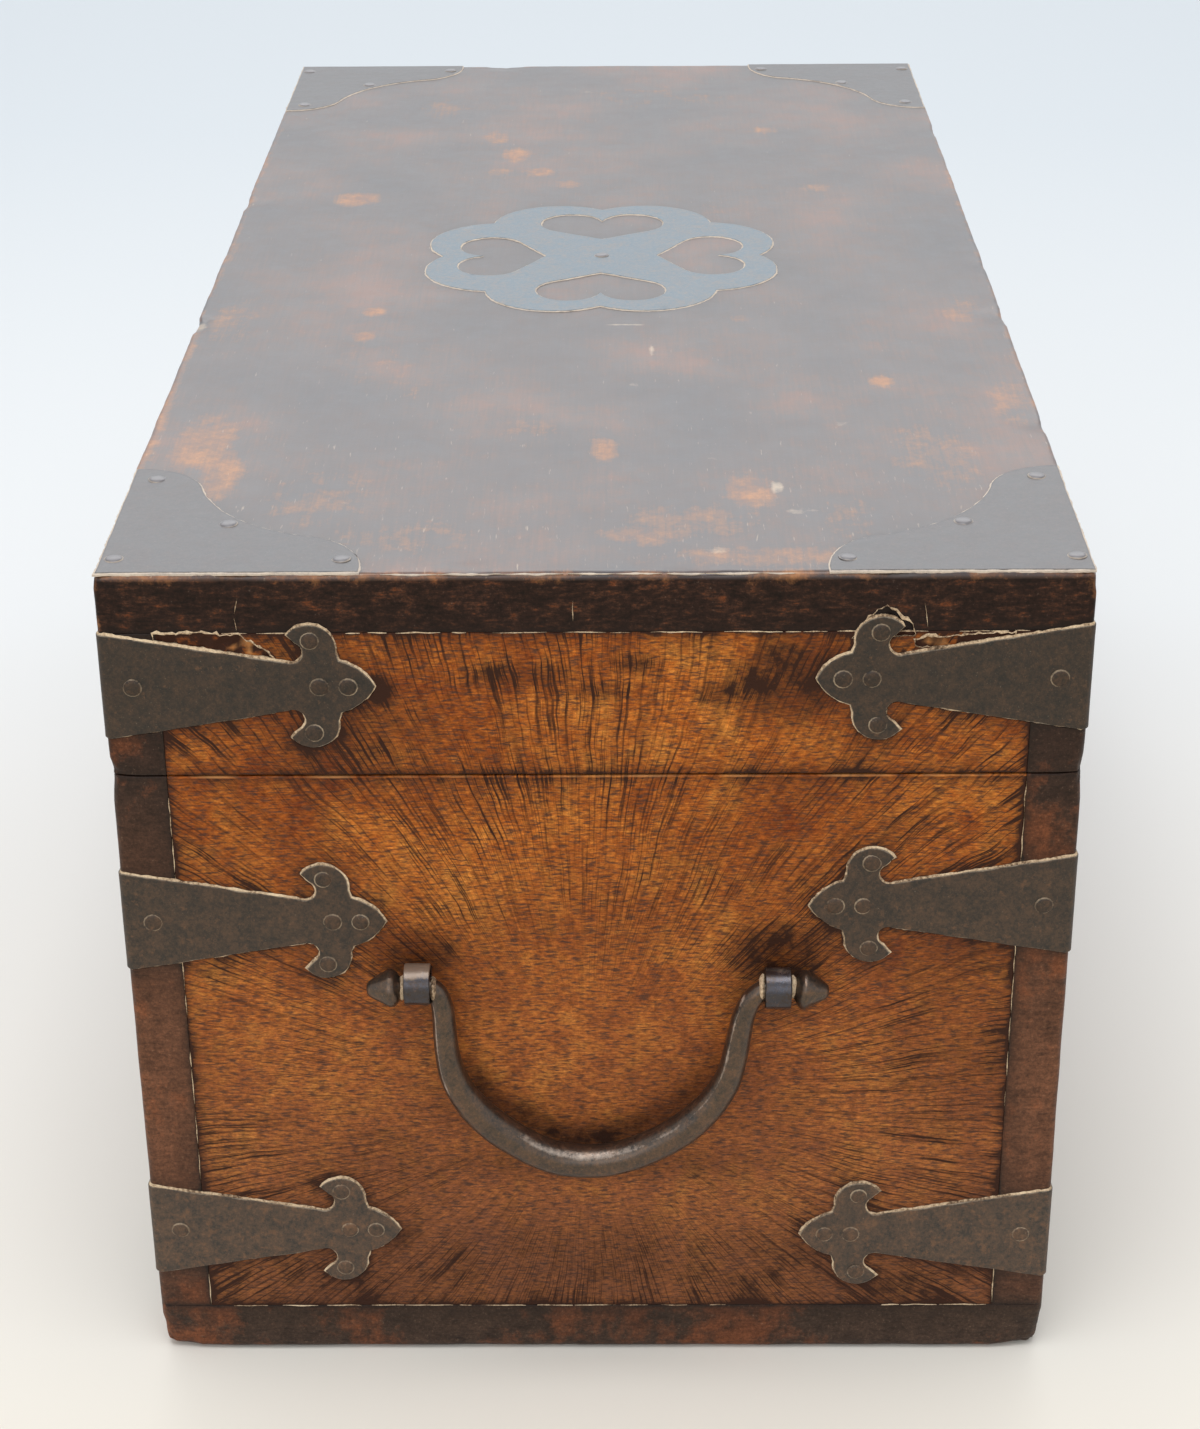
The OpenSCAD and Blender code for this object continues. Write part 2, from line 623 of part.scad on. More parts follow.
// Case let into the inner side of the front board, closed by its back plate
module lock_case() color([0.33, 0.32, 0.31]) difference() {
    union() {
        translate([-lock_w / 2, lock_front, body_top - lock_h]) cube([lock_w, lock_depth, lock_h]);
        translate([-lock_w / 2 - lock_flange, board_inside, body_top - lock_h - back_plate_below])
            cube([lock_w + 2 * lock_flange, back_plate_t, lock_h + back_plate_below - back_plate_top]);
    }
    // room for the works, leaving a ledge under the bolt
    difference() {
        translate([-lock_w / 2 + lock_wall, lock_front + lock_wall, body_top - lock_h + lock_wall])
            cube([lock_w - 2 * lock_wall, lock_inner, lock_h - 2 * lock_wall]);
        translate([-lock_w / 2, lock_front, bolt_bottom - slide_gap - ledge_t])
            cube([lock_w / 2 - ledge_short, lock_depth, ledge_t]);
    }
    // slot for the hook
    translate([hook_foot - hook_clear, hook_mid_y - hook_t / 2 - hook_clear, body_top - lock_wall - 1])
        cube([hook_right - hook_foot + 2 * hook_clear, hook_t + 2 * hook_clear, lock_wall + 1 + cut_out]);
    keyhole_prism(lock_front - 1, lock_front + lock_wall + 1);
    at_lock_nails() nail_hole(lock_nail_l);
}

// Bolt drawn back to the left; it runs to the right over the hook's foot
bit_notch = [4, 2]; // width and depth of the notch that the key's bit works in
module lock_bolt() color([0.45, 0.43, 0.4])
    translate([bolt_nose - bolt_l, lock_front + lock_wall + slide_gap, bolt_bottom]) difference() {
        cube([bolt_l, lock_inner - 2 * slide_gap, bolt_h]);
        translate([bolt_l / 2, -cut_out, -cut_out])
            cube([bit_notch.x, lock_depth + cut_out, bit_notch.y + cut_out]);
    }

// Plate under the lid's front rail with the hook that drops into the case
hook_plate_w = 44;
hook_plate_d = 7;
hook_nail_l = 12;
hook_nail_inset = 5; // hook plate's nails from its ends
module at_hook_nails() for (x_side = SIDES)
    translate([x_side * (hook_plate_w / 2 - hook_nail_inset), hook_mid_y, lid_bottom])
        rotate([180, 0, 0]) children();

module lid_hook_plate() color([0.33, 0.32, 0.31]) difference() {
    union() {
        translate([-hook_plate_w / 2, hook_mid_y - hook_plate_d / 2, lid_bottom])
            cube([hook_plate_w, hook_plate_d, hook_plate_t]);
        translate([hook_post.x, hook_mid_y - hook_t / 2, hook_bottom])
            cube([hook_post.y, hook_t, lid_bottom - hook_bottom + hook_plate_t]);
        translate([hook_foot, hook_mid_y - hook_t / 2, hook_bottom])
            cube([hook_right - hook_foot, hook_t, hook_top - hook_bottom]);
    }
    at_hook_nails() sunk_hole(hook_nail_l, nail_head_d);
}

// ---- boards ---------------------------------------------------------------

board_colour = [0.36, 0.17, 0.07];
end_colour = [0.6, 0.3, 0.12];

// Rounded block as large as the chest, for the boards to be cut from
module chest_block(from, to) translate([0, 0, from]) linear_extrude(to - from) polygon(plan(0));

// Long board on the front or back, from one height to another
module long_board(y_side, from, to) intersection() {
    chest_block(from, to);
    translate([0, y_side * (half_width - side_board_t / 2), (from + to) / 2])
        cube([2 * chest_length, side_board_t, 2 * (to - from)], center = true);
}

// Short board on an end, between the long boards
module short_board(x_side, from, to)
    translate([x_side * (half_length - end_board_t / 2), 0, (from + to) / 2])
        cube([end_board_t, inner_width, to - from], center = true);

// Full-size board whose edges are rounded at the top or at the bottom
module flat_board(from, to, ease, up) {
    tall = to - from;
    shift = up ? -tall / 2 : tall / 2;
    translate([0, 0, up ? to : from]) intersection() {
        translate([0, 0, up ? -tall : 0]) linear_extrude(tall) polygon(plan(0));
        translate([0, 0, shift]) rotate([90, 0, 90])
            linear_extrude(2 * chest_length, center = true) half_round(chest_width, tall, ease, up);
        translate([0, 0, shift]) rotate([90, 0, 0])
            linear_extrude(2 * chest_width, center = true) half_round(chest_length, tall, ease, up);
    }
}

// Rectangle with two rounded corners, above or below
module half_round(w, h, r, up) intersection() {
    translate([0, up ? -h : h]) polygon(round_rect(w, 3 * h, r));
    square([w, h], center = true);
}

// Nails up through the bottom board: five into each long board, two into each end board
long_nail_pitch = (half_length - 90) / 2;
end_nail_y = inner_width / 5;
nails_sunk_by = nail_gap / 2; // how far their heads lie in from the surface
module at_bottom_nails() {
    for (i = [-2:2], y_side = FACES)
        translate([i * long_nail_pitch, y_side * (half_width - side_board_t / 2), 0])
            rotate([180, 0, 0]) children();
    for (x_side = SIDES, y_side = FACES)
        translate([x_side * (half_length - end_board_t / 2), y_side * end_nail_y, 0])
            rotate([180, 0, 0]) children();
}

module body_strap_cuts(x_sides, y_sides) for (x_side = x_sides, y_side = y_sides) {
    strap_cut(x_side, y_side, middle_strap_z(y_side));
    strap_cut(x_side, y_side, low_strap_z(y_side));
}

module lid_strap_cuts(x_sides, y_sides) for (x_side = x_sides, y_side = y_sides)
    strap_cut(x_side, y_side, lid_strap_z(y_side));

module bottom_board() color(board_colour) difference() {
    flat_board(0, bottom_board_t, bottom_ease, false);
    at_bottom_nails() sunk_hole(bottom_nail_l, sunk_head_d);
}

module front_board() color(board_colour) difference() {
    long_board(FRONT, bottom_board_t, body_top);
    body_strap_cuts(SIDES, [FRONT]);
    at_bottom_nails() sunk_hole(bottom_nail_l, sunk_head_d);
    // mortise for the lock case
    translate([-lock_w / 2 - inlay_gap, lock_front - inlay_gap, body_top - lock_h - inlay_gap])
        cube([lock_w + 2 * inlay_gap, lock_depth + inlay_gap + cut_out, lock_h + inlay_gap + cut_out]);
    keyplate_blank(inlay_gap, let_in + cut_out);
    keyhole_prism(-half_width - cut_out, board_inside);
    at_keyplate_nails() nail_hole(keyplate_nail_l);
    at_lock_nails() nail_hole(lock_nail_l);
}

module back_board() color(board_colour) difference() {
    long_board(BACK, bottom_board_t, body_top);
    body_strap_cuts(SIDES, [BACK]);
    at_bottom_nails() sunk_hole(bottom_nail_l, sunk_head_d);
    for (x_side = SIDES) leaf_cut(x_side, false, body_leaf_reach);
}

module end_board(x_side) color(end_colour) difference() {
    short_board(x_side, bottom_board_t, body_top);
    body_strap_cuts([x_side], FACES);
    at_bottom_nails() sunk_hole(bottom_nail_l, sunk_head_d);
    eye_slots(x_side);
}

module lid_top_board() color(board_colour) difference() {
    flat_board(lid_board_z, chest_height, top_ease, true);
    for (x_side = SIDES, y_side = FACES) top_plate_cut(x_side, y_side);
    lid_strap_cuts(SIDES, FACES);
    translate([0, 0, plate_floor]) rosette_shape(cut_out, inlay_gap);
    translate([0, 0, chest_height + plate_proud]) nail_hole(nail_l);
}

module lid_front_rail() color(board_colour) difference() {
    long_board(FRONT, lid_bottom, lid_board_z);
    lid_strap_cuts(SIDES, [FRONT]);
    // seat of the hook plate
    translate([0, hook_mid_y, lid_bottom + (hook_plate_t - cut_out) / 2]) cube([
        hook_plate_w + 2 * inlay_gap, hook_plate_d + 2 * inlay_gap, hook_plate_t + cut_out
    ], center = true);
    at_hook_nails() nail_hole(hook_nail_l);
}

module lid_back_rail() color(board_colour) difference() {
    long_board(BACK, lid_bottom, lid_board_z);
    lid_strap_cuts(SIDES, [BACK]);
    for (x_side = SIDES) leaf_cut(x_side, true, lid_leaf_reach);
}

module lid_end(x_side) color(end_colour) difference() {
    short_board(x_side, lid_bottom, lid_board_z);
    lid_strap_cuts([x_side], FACES);
}

// ---- groups of nails ------------------------------------------------------

nail_colour = [0.26, 0.23, 0.21];

module lid_strap_nails() color(nail_colour) for (x_side = SIDES, y_side = FACES)
    strap_nails(x_side, y_side, lid_strap_z(y_side));

module body_strap_nails() color(nail_colour) for (x_side = SIDES, y_side = FACES) {
    strap_nails(x_side, y_side, middle_strap_z(y_side));
    strap_nails(x_side, y_side, low_strap_z(y_side));
}

module top_plate_nails() color(nail_colour) for (x_side = SIDES, y_side = FACES)
    at_corner(x_side, y_side) at_plate_nails() nail(nail_l);

module rosette_nail() color(nail_colour) translate([0, 0, chest_height + plate_proud]) nail(nail_l);

module hinge_lid_nails() color(nail_colour) for (x_side = SIDES)
    at_hinge(x_side, true) at_leaf_nails(lid_leaf_reach) nail(nail_l);

module hinge_body_nails() color(nail_colour) for (x_side = SIDES)
    at_hinge(x_side, false) at_leaf_nails(body_leaf_reach) nail(nail_l);

module keyhole_plate_nails() color(nail_colour) at_keyplate_nails() nail(keyplate_nail_l);

module lock_case_nails() color(nail_colour) at_lock_nails() nail(lock_nail_l);

module hook_plate_nails() color(nail_colour) at_hook_nails() sunk_nail(hook_nail_l, nail_head_d);

module bottom_board_nails() color(nail_colour) translate([0, 0, nails_sunk_by])
    at_bottom_nails() sunk_nail(bottom_nail_l, sunk_head_d);

// ---- the chest ------------------------------------------------------------

bottom_board();
front_board();
back_board();
end_board(LEFT);  // left_end_board
end_board(RIGHT);  // right_end_board
lid_top_board();
lid_front_rail();
lid_back_rail();
lid_end(LEFT);  // lid_left_end
lid_end(RIGHT);  // lid_right_end
strap(LEFT, FRONT, lid_strap_z(FRONT));  // lid_strap_left_front
strap(LEFT, BACK, lid_strap_z(BACK));  // lid_strap_left_back
strap(RIGHT, FRONT, lid_strap_z(FRONT));  // lid_strap_right_front
strap(RIGHT, BACK, lid_strap_z(BACK));  // lid_strap_right_back
strap(LEFT, FRONT, middle_strap_z(FRONT));  // middle_strap_left_front
strap(LEFT, BACK, middle_strap_z(BACK));  // middle_strap_left_back
strap(RIGHT, FRONT, middle_strap_z(FRONT));  // middle_strap_right_front
strap(RIGHT, BACK, middle_strap_z(BACK));  // middle_strap_right_back
strap(LEFT, FRONT, low_strap_z(FRONT));  // low_strap_left_front
strap(LEFT, BACK, low_strap_z(BACK));  // low_strap_left_back
strap(RIGHT, FRONT, low_strap_z(FRONT));  // low_strap_right_front
strap(RIGHT, BACK, low_strap_z(BACK));  // low_strap_right_back
top_plate(LEFT, FRONT);  // top_plate_left_front
top_plate(LEFT, BACK);  // top_plate_left_back
top_plate(RIGHT, FRONT);  // top_plate_right_front
top_plate(RIGHT, BACK);  // top_plate_right_back
top_rosette();
bail(LEFT);  // left_bail
bail_eye(LEFT, FRONT);  // left_bail_eye_front
bail_eye(LEFT, BACK);  // left_bail_eye_back
bail(RIGHT);  // right_bail
bail_eye(RIGHT, FRONT);  // right_bail_eye_front
bail_eye(RIGHT, BACK);  // right_bail_eye_back
hinge_lid_leaf(LEFT);  // left_hinge_lid_leaf
hinge_body_leaf(LEFT);  // left_hinge_body_leaf
hinge_pin(LEFT);  // left_hinge_pin
hinge_lid_leaf(RIGHT);  // right_hinge_lid_leaf
hinge_body_leaf(RIGHT);  // right_hinge_body_leaf
hinge_pin(RIGHT);  // right_hinge_pin
keyhole_plate();
lock_case();
lock_bolt();
lid_hook_plate();
lid_strap_nails();
body_strap_nails();
top_plate_nails();
rosette_nail();
hinge_lid_nails();
hinge_body_nails();
keyhole_plate_nails();
lock_case_nails();
hook_plate_nails();
bottom_board_nails();
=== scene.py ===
import math
import random
from functools import partial

import bmesh
import bpy
from mathutils import Matrix, Vector, kdtree, noise
from mathutils.geometry import delaunay_2d_cdt


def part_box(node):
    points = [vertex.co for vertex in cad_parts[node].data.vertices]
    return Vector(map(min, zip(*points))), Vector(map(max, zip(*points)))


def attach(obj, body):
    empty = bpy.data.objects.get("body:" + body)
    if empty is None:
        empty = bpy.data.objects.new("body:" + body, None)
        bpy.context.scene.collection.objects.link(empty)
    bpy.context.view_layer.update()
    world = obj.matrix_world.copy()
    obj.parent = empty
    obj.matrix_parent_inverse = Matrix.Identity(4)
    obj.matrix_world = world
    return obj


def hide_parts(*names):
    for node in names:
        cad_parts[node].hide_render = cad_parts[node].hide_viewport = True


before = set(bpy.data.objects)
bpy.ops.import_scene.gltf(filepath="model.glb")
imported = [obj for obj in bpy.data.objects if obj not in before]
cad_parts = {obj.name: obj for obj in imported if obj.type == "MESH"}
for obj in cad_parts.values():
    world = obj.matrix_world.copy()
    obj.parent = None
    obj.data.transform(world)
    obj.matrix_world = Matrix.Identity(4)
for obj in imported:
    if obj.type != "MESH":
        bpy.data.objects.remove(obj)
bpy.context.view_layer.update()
print("frame loaded")

mm = 0.001


def newObject(name, data):
    obj = bpy.data.objects.new(name, data)
    bpy.context.scene.collection.objects.link(obj)
    return obj


camera = {
    "place": (-0.87095, -0.00785, 0.5038),  # metres, beyond the left end
    "forward": (0.8950, 0.00976, -0.4459),
    "roll": 0.0082,
    "lens": 71.68,
}


def makeCamera():
    forward = Vector(camera["forward"]).normalized()
    right = forward.cross(Vector((0, 0, 1))).normalized()
    up = right.cross(forward)
    right, up = right - camera["roll"] * up, up + camera["roll"] * right
    data = bpy.data.cameras.new("camera")
    data.lens = camera["lens"]
    data.sensor_width = 36
    data.clip_start = 0.05
    data.clip_end = 30
    obj = newObject("camera", data)
    axes = Matrix((right.normalized(), up.normalized(), -forward)).transposed()
    obj.matrix_world = Matrix.Translation(camera["place"]) @ axes.to_4x4()
    bpy.context.scene.camera = obj


def linear(hexColour):
    # sRGB hex to linear
    values = [int(hexColour[i:i + 2], 16) / 255 for i in (1, 3, 5)]
    return tuple(v / 12.92 if v <= 0.04045 else ((v + 0.055) / 1.055) ** 2.4 for v in values) + (1.0,)


def addNode(tree, kind, inputs=(), stops=(), **settings):
    # one node with its settings; gives back its first output in use. Inputs go by place or by key: a value, a hex
    # colour or the output that feeds it; stops are a ramp's
    node = tree.nodes.new(kind if "Node" in kind else "ShaderNode" + kind)
    for key, value in settings.items():
        setattr(node, key, value)
    for key, value in (inputs if isinstance(inputs, dict) else dict(enumerate(inputs))).items():
        if isinstance(value, bpy.types.NodeSocket):
            tree.links.new(value, node.inputs[key])
        else:
            node.inputs[key].default_value = linear(value) if str(value).startswith("#") else value
    for i, (at, hexColour) in enumerate(stops):
        stop = node.color_ramp.elements[i] if i < 2 else node.color_ramp.elements.new(at)
        stop.position = at
        stop.color = linear(hexColour)
    return next((out for out in node.outputs if out.enabled), node)


light = {
    "ambient": 0.72,
    "backdrop": "#EEF3F8",
    # name, place, target, size across and along, watts
    "lamps": (
        ("overhead", (-0.5, 0.1, 2.0), (0, 0, 0.1), (1.1, 1.1), 16.0),
        ("front", (-2.0, 0.5, 1.1), (0, 0, 0.1), (1.6, 1.2), 7.0),
        ("behind", (2.6, 0.0, 2.0), (0, 0, 0.2), (3.0, 1.4), 25.0),
    ),
}


def makeLight():
    world = bpy.data.worlds.new("studio")
    bpy.context.scene.world = world
    world.use_nodes = True
    world.node_tree.nodes.clear()
    add = partial(addNode, world.node_tree)
    path = add("LightPath").node.outputs
    seen = add("Math", (path["Is Camera Ray"], path["Is Glossy Ray"]), operation="MAXIMUM")
    seen = add("Math", (seen, path["Is Transmission Ray"]), operation="MAXIMUM")
    backdrop = add("Background", (light["backdrop"], 1.0))
    ambient = add("Background", ((1, 1, 1, 1), light["ambient"]))
    add("OutputWorld", (add("MixShader", (seen, ambient, backdrop)),))

    for name, place, target, size, power in light["lamps"]:
        data = bpy.data.lights.new(name, "AREA")
        data.shape = "RECTANGLE"
        data.size, data.size_y = size
        data.energy = power
        obj = newObject(name, data)
        obj.location = place
        obj.rotation_euler = (Vector(target) - Vector(place)).to_track_quat("-Z", "Y").to_euler()
        obj.visible_camera = False


def makeFloor():
    mesh = bpy.data.meshes.new("floor")
    mesh.from_pydata([(-4, -4, 0), (6, -4, 0), (6, 4, 0), (-4, 4, 0)], [], [(0, 1, 2, 3)])
    obj = newObject("floor", mesh)
    material = bpy.data.materials.new("matt white studio paper")
    material.use_nodes = True
    tree = material.node_tree
    place = addNode(tree, "TexCoord").node.outputs["Object"]
    blend = addNode(tree, "MapRange", (addNode(tree, "SeparateXYZ", (place,)), -0.55, 2.6))
    colour = addNode(tree, "ValToRGB", (blend,), stops=(
        (0.0, "#E0D6C0"), (1.0, "#CAD2D9"), (0.1, "#EDEAE3"), (0.25, "#E6E9EB"), (0.5, "#D6DDE3")))
    shader = tree.nodes["Principled BSDF"]
    tree.links.new(colour, shader.inputs["Base Color"])
    shader.inputs["Roughness"].default_value = 0.9
    shader.inputs["Specular IOR Level"].default_value = 0.1
    mesh.materials.append(material)


bpy.context.scene.view_settings.view_transform = "Standard"
makeCamera()
makeLight()
makeFloor()
print("camera, light and floor made")


def boxOf(node):
    low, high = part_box(node)
    return low / mm, high / mm


def camelCase(node):
    words = node.split("_")
    return words[0] + "".join(w.title() for w in words[1:])


endNames = (("left", -1), ("right", 1))
sideNames = (("front", -1), ("back", 1))

chest = {
    "halfLength": boxOf("bottom_board")[1].x,
    "halfWidth": boxOf("bottom_board")[1].y,
    "height": boxOf("lid_top_board")[1].z,
    "bodyTop": boxOf("front_board")[1].z,
    "lidBottom": boxOf("lid_front_rail")[0].z,
    "cornerEase": 1.6,
    "letIn": 0.7,  # depth of the pockets for the straps
    "proud": 0.5,  # how far a strap stands out of the wood
}


def grain(point, size, seed=0.0):
    # smooth noise from -1 to 1 with bumps about size millimetres wide
    return noise.noise(Vector(point) / size + Vector((seed, seed * 0.37, seed * 1.7)))


def clamp(value, low=0, high=1):
    return min(max(value, low), high)


def meshObject(name, points, faces, merge=True):
    # a mesh from millimetres, its faces turned outwards
    mesh = bpy.data.meshes.new(name)
    mesh.from_pydata([Vector(p) * mm for p in points], [], faces)
    work = bmesh.new()
    work.from_mesh(mesh)
    if merge:
        bmesh.ops.remove_doubles(work, verts=work.verts, dist=1e-7)
    bmesh.ops.recalc_face_normals(work, faces=work.faces)
    work.to_mesh(mesh)
    work.free()
    return newObject(name, mesh)


def joinMeshes(parts):
    points, faces = [], []
    for more, shapes in parts:
        faces += [tuple(i + len(points) for i in f) for f in shapes]
        points += more
    return points, faces


def ringFaces(rings, around, closing="caps", first=0):
    # quads between rings that follow one another; closing is "caps" on both ends, "joined" end to end, or "none"
    faces = []
    for a in range(rings if closing == "joined" else rings - 1):
        low, high = first + a * around, first + (a + 1) % rings * around
        faces += [(low + k, low + (k + 1) % around, high + (k + 1) % around, high + k) for k in range(around)]
    if closing == "caps":
        last = first + (rings - 1) * around
        faces += [tuple(range(first, first + around))[::-1], tuple(range(last, last + around))]
    return faces


def searchTree(points):
    tree = kdtree.KDTree(len(points))
    for i, p in enumerate(points):
        tree.insert(p, i)
    tree.balance()
    return tree


def settle(obj, body, slotName, nodes, material=None, angle=38):
    # last steps for a finished piece: finish, shading, and its place in the frame
    obj.data.materials.clear()
    obj.data.materials.append(material or finishes[slotName])
    obj.data.shade_smooth()
    obj.data.set_sharp_from_angle(angle=math.radians(angle))
    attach(obj, body)
    if nodes:
        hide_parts(*nodes)
    return obj


def applyModifiers(obj):
    bpy.context.view_layer.update()
    seen = obj.evaluated_get(bpy.context.evaluated_depsgraph_get())
    mesh = bpy.data.meshes.new_from_object(seen)
    obj.modifiers.clear()
    old = obj.data
    obj.data = mesh
    bpy.data.meshes.remove(old)
    return obj


def setValues(obj, name, values):
    # one value for every point of the mesh, for the material to read
    obj.data.attributes.new(name, "FLOAT", "POINT").data.foreach_set("value", values)


def paint(obj, name, rule):
    setValues(obj, name, [rule(v.co / mm) for v in obj.data.vertices])


def arc(x, y, r, start, stop, steps):
    angles = [math.radians(start + (stop - start) * i / steps) for i in range(steps + 1)]
    return [(x + r * math.cos(a), y + r * math.sin(a)) for a in angles]


def bow(p, q, sag, steps):
    # circular arc from p to q that stands sag out to the left of the way
    p, q = Vector(p), Vector(q)
    along = (q - p).normalized()
    out = Vector((-along.y, along.x)) * (1 if sag > 0 else -1)
    rise, half = abs(sag), (q - p).length / 2
    r = (half * half + rise * rise) / (2 * rise)
    centre = (p + q) / 2 - out * (r - rise)
    reach = math.asin(half / r)
    angles = [reach * (2 * i / steps - 1) for i in range(steps + 1)]
    return [tuple(centre + r * (out * math.cos(a) + along * math.sin(a))) for a in angles]


def straight(p, q, pitch):
    # points from p towards q, leaving out q
    count = max(1, round(math.dist(p, q) / pitch))
    return [(p[0] + (q[0] - p[0]) * i / count, p[1] + (q[1] - p[1]) * i / count) for i in range(count)]


def outset(points, d):
    # an anticlockwise outline moved outwards; d is one distance or one for each point
    n = len(points)
    far = d if isinstance(d, list) else [d] * n
    moved = []
    for i in range(n):
        a, b, c = Vector(points[i - 1]), Vector(points[i]), Vector(points[(i + 1) % n])
        u, v = (b - a).normalized(), (c - b).normalized()
        out = Vector((u.y + v.y, -u.x - v.x)) / max(0.6, 1 + u.dot(v))
        moved.append(tuple(b + far[i] * out))
    return moved


def resample(points, pitch):
    # a closed outline with a point about every pitch millimetres, corners kept
    made = []
    for i, p in enumerate(points):
        made += straight(p, points[(i + 1) % len(points)], pitch)
    return made


def inside(point, outline):
    x, y = point
    found = False
    for i in range(len(outline)):
        (ax, ay), (bx, by) = outline[i - 1], outline[i]
        if (ay > y) != (by > y) and x < (bx - ax) * (y - ay) / (by - ay) + ax:
            found = not found
    return found


def handCut(points, amount, seed):
    # slight unevenness, as a hand-cut edge has
    return outset(points, [amount * grain((p[0], p[1], 0), 5.0, seed) for p in points])


def plateMesh(outline, holes, top, bottom, ease, seed, pitch=4.0, columns=(), wave=0.05):
    # a flat plate with eased edges: points as across, up and height, faces, and how near each point is to an edge
    rings = ((0, bottom, 1), (0, top - ease, 1), (0.3 * ease, top - 0.3 * ease, 1), (ease, top, 0.75),
             (ease + 0.35, top, 0))
    points, near, faces, firstLoops, lastLoops = [], [], [], [], []
    for loop, way in [(outline, -1)] + [(h, 1) for h in holes]:
        first, n = len(points), len(loop)
        for inwards, height, value in rings:
            points += [(p[0], p[1], height) for p in outset(loop, way * inwards)]
            near += [value] * n
        faces += ringFaces(len(rings), n, "none", first)
        firstLoops.append(list(range(first, first + n)))
        lastLoops.append(list(range(len(points) - n, len(points))))

    def fill(loops, extra):
        ids = [i for loop in loops for i in loop] + extra
        place = {index: k for k, index in enumerate(ids)}
        edges = [(place[loop[k - 1]], place[loop[k]]) for loop in loops for k in range(len(loop))]
        flat = [Vector((points[i][0], points[i][1])) for i in ids]
        made = delaunay_2d_cdt(flat, edges, [], 0, 1e-7)
        borders = [[tuple(points[i][:2]) for i in loop] for loop in loops]
        for face in made[2]:
            corners = [made[0][k] for k in face]
            middle = sum(corners, Vector((0, 0))) / len(corners)
            if inside(middle, borders[0]) and not any(inside(middle, b) for b in borders[1:]):
                faces.append(tuple(ids[made[3][k][0]] for k in face))

    guards = [[tuple(points[i][:2]) for i in loop] for loop in lastLoops]
    low = [min(p[k] for p in guards[0]) for k in (0, 1)]
    high = [max(p[k] for p in guards[0]) for k in (0, 1)]
    dice = random.Random(seed)
    spots = [(u, low[1] + (j + 0.5) * 2.5) for u in columns for j in range(int((high[1] - low[1]) / 2.5))]
    for i in range(int((high[0] - low[0]) / pitch) + 1):
        for j in range(int((high[1] - low[1]) / pitch) + 1):
            spot = tuple(edge + (k + dice.uniform(0.2, 0.8)) * pitch for edge, k in zip(low, (i, j)))
            if not columns or abs(spot[0]) > 3.0:
                spots.append(spot)
    extra = []
    for spot in spots:
        free = inside(spot, guards[0]) and not any(inside(spot, g) for g in guards[1:])
        if free and min(math.dist(spot, p) for g in guards for p in g) > 0.7:
            extra.append(len(points))
            points.append((spot[0], spot[1], top + wave * (grain((spot[0], spot[1], 0), 14.0, seed) - 0.5)))
            near.append(0.0)
    fill(lastLoops, extra)
    fill(firstLoops, [])
    return points, faces, near


def roundCorner(xSide, ySide, z):
    # u runs from the tip on the long side (-) round the upright corner to the tip on the end (+)
    def place(u, v, h):
        ease = chest["cornerEase"]
        cx, cy = chest["halfLength"] - ease, chest["halfWidth"] - ease
        if abs(u) <= ease:
            turn = (u + ease) / (2 * ease) * math.pi / 2
            x, y = cx + (ease + h) * math.sin(turn), cy + (ease + h) * math.cos(turn)
        elif u > 0:
            x, y = chest["halfLength"] + h, chest["halfWidth"] - u
        else:
            x, y = chest["halfLength"] + u, chest["halfWidth"] + h
        return Vector((xSide * x, ySide * y, z + v))
    return place


def onTop(xSide, ySide):
    def place(u, v, h):
        return Vector((xSide * (chest["halfLength"] - u), ySide * (chest["halfWidth"] - v), chest["height"] + h))
    return place


def plateObject(name, made, place):
    points, faces, near = made
    obj = meshObject(name, [place(*p) for p in points], faces, merge=False)
    setValues(obj, "edge", near)
    return obj


strap = {
    "reach": 66.5,
    "root": 27.8,
    "headLength": 21.5,
    "rootNail": 7.5,
    "sideRootNail": 13.5,
    "headNails": ((8, 0), (15, 0), (6.2, 12.4), (6.2, -12.4)),
    "ease": 0.22,
    "gap": 0.32,
    "columns": (-1.6, -0.8, 0, 0.8, 1.6),  # rows of points that bend round the corner
}

headHalf = (arc(1.4, 9.1, 2.9, -115, 65, 10)
            + arc(5.9, 10.1, 6.4, 144.5, -8, 16)
            + bow((13, 7), (21.5, 0), 1.2, 6))


def armHalf(reach, root, scale, shoulder):
    # upper edge of an arm from its shoulder to its tip
    head = [(reach - scale * (strap["headLength"] - x), scale * y) for x, y in headHalf]
    return straight((shoulder, root / 2), head[0], 2.0) + head


def strapOutline(seed):
    right = armHalf(strap["reach"], strap["root"], 1.0, chest["cornerEase"])
    middle = [(u, strap["root"] / 2) for u in (-0.8, 0.0, 0.8)]
    upper = [(-u, v) for u, v in reversed(right)] + middle + right
    lower = [(u, -v) for u, v in upper]
    outline = lower + upper[-2:0:-1]
    return [p if abs(p[0]) < 3 else q for p, q in zip(outline, handCut(outline, 0.18, seed))]


straps = []  # node, body, place, outline
for level, body in (("lid", "lid"), ("middle", "body"), ("low", "body")):
    for xName, xSide in endNames:
        for yName, ySide in sideNames:
            node = f"{level}_strap_{xName}_{yName}"
            height = sum(corner.z for corner in boxOf(node)) / 2
            straps.append((node, body, roundCorner(xSide, ySide, height), strapOutline(len(straps) * 3.7)))


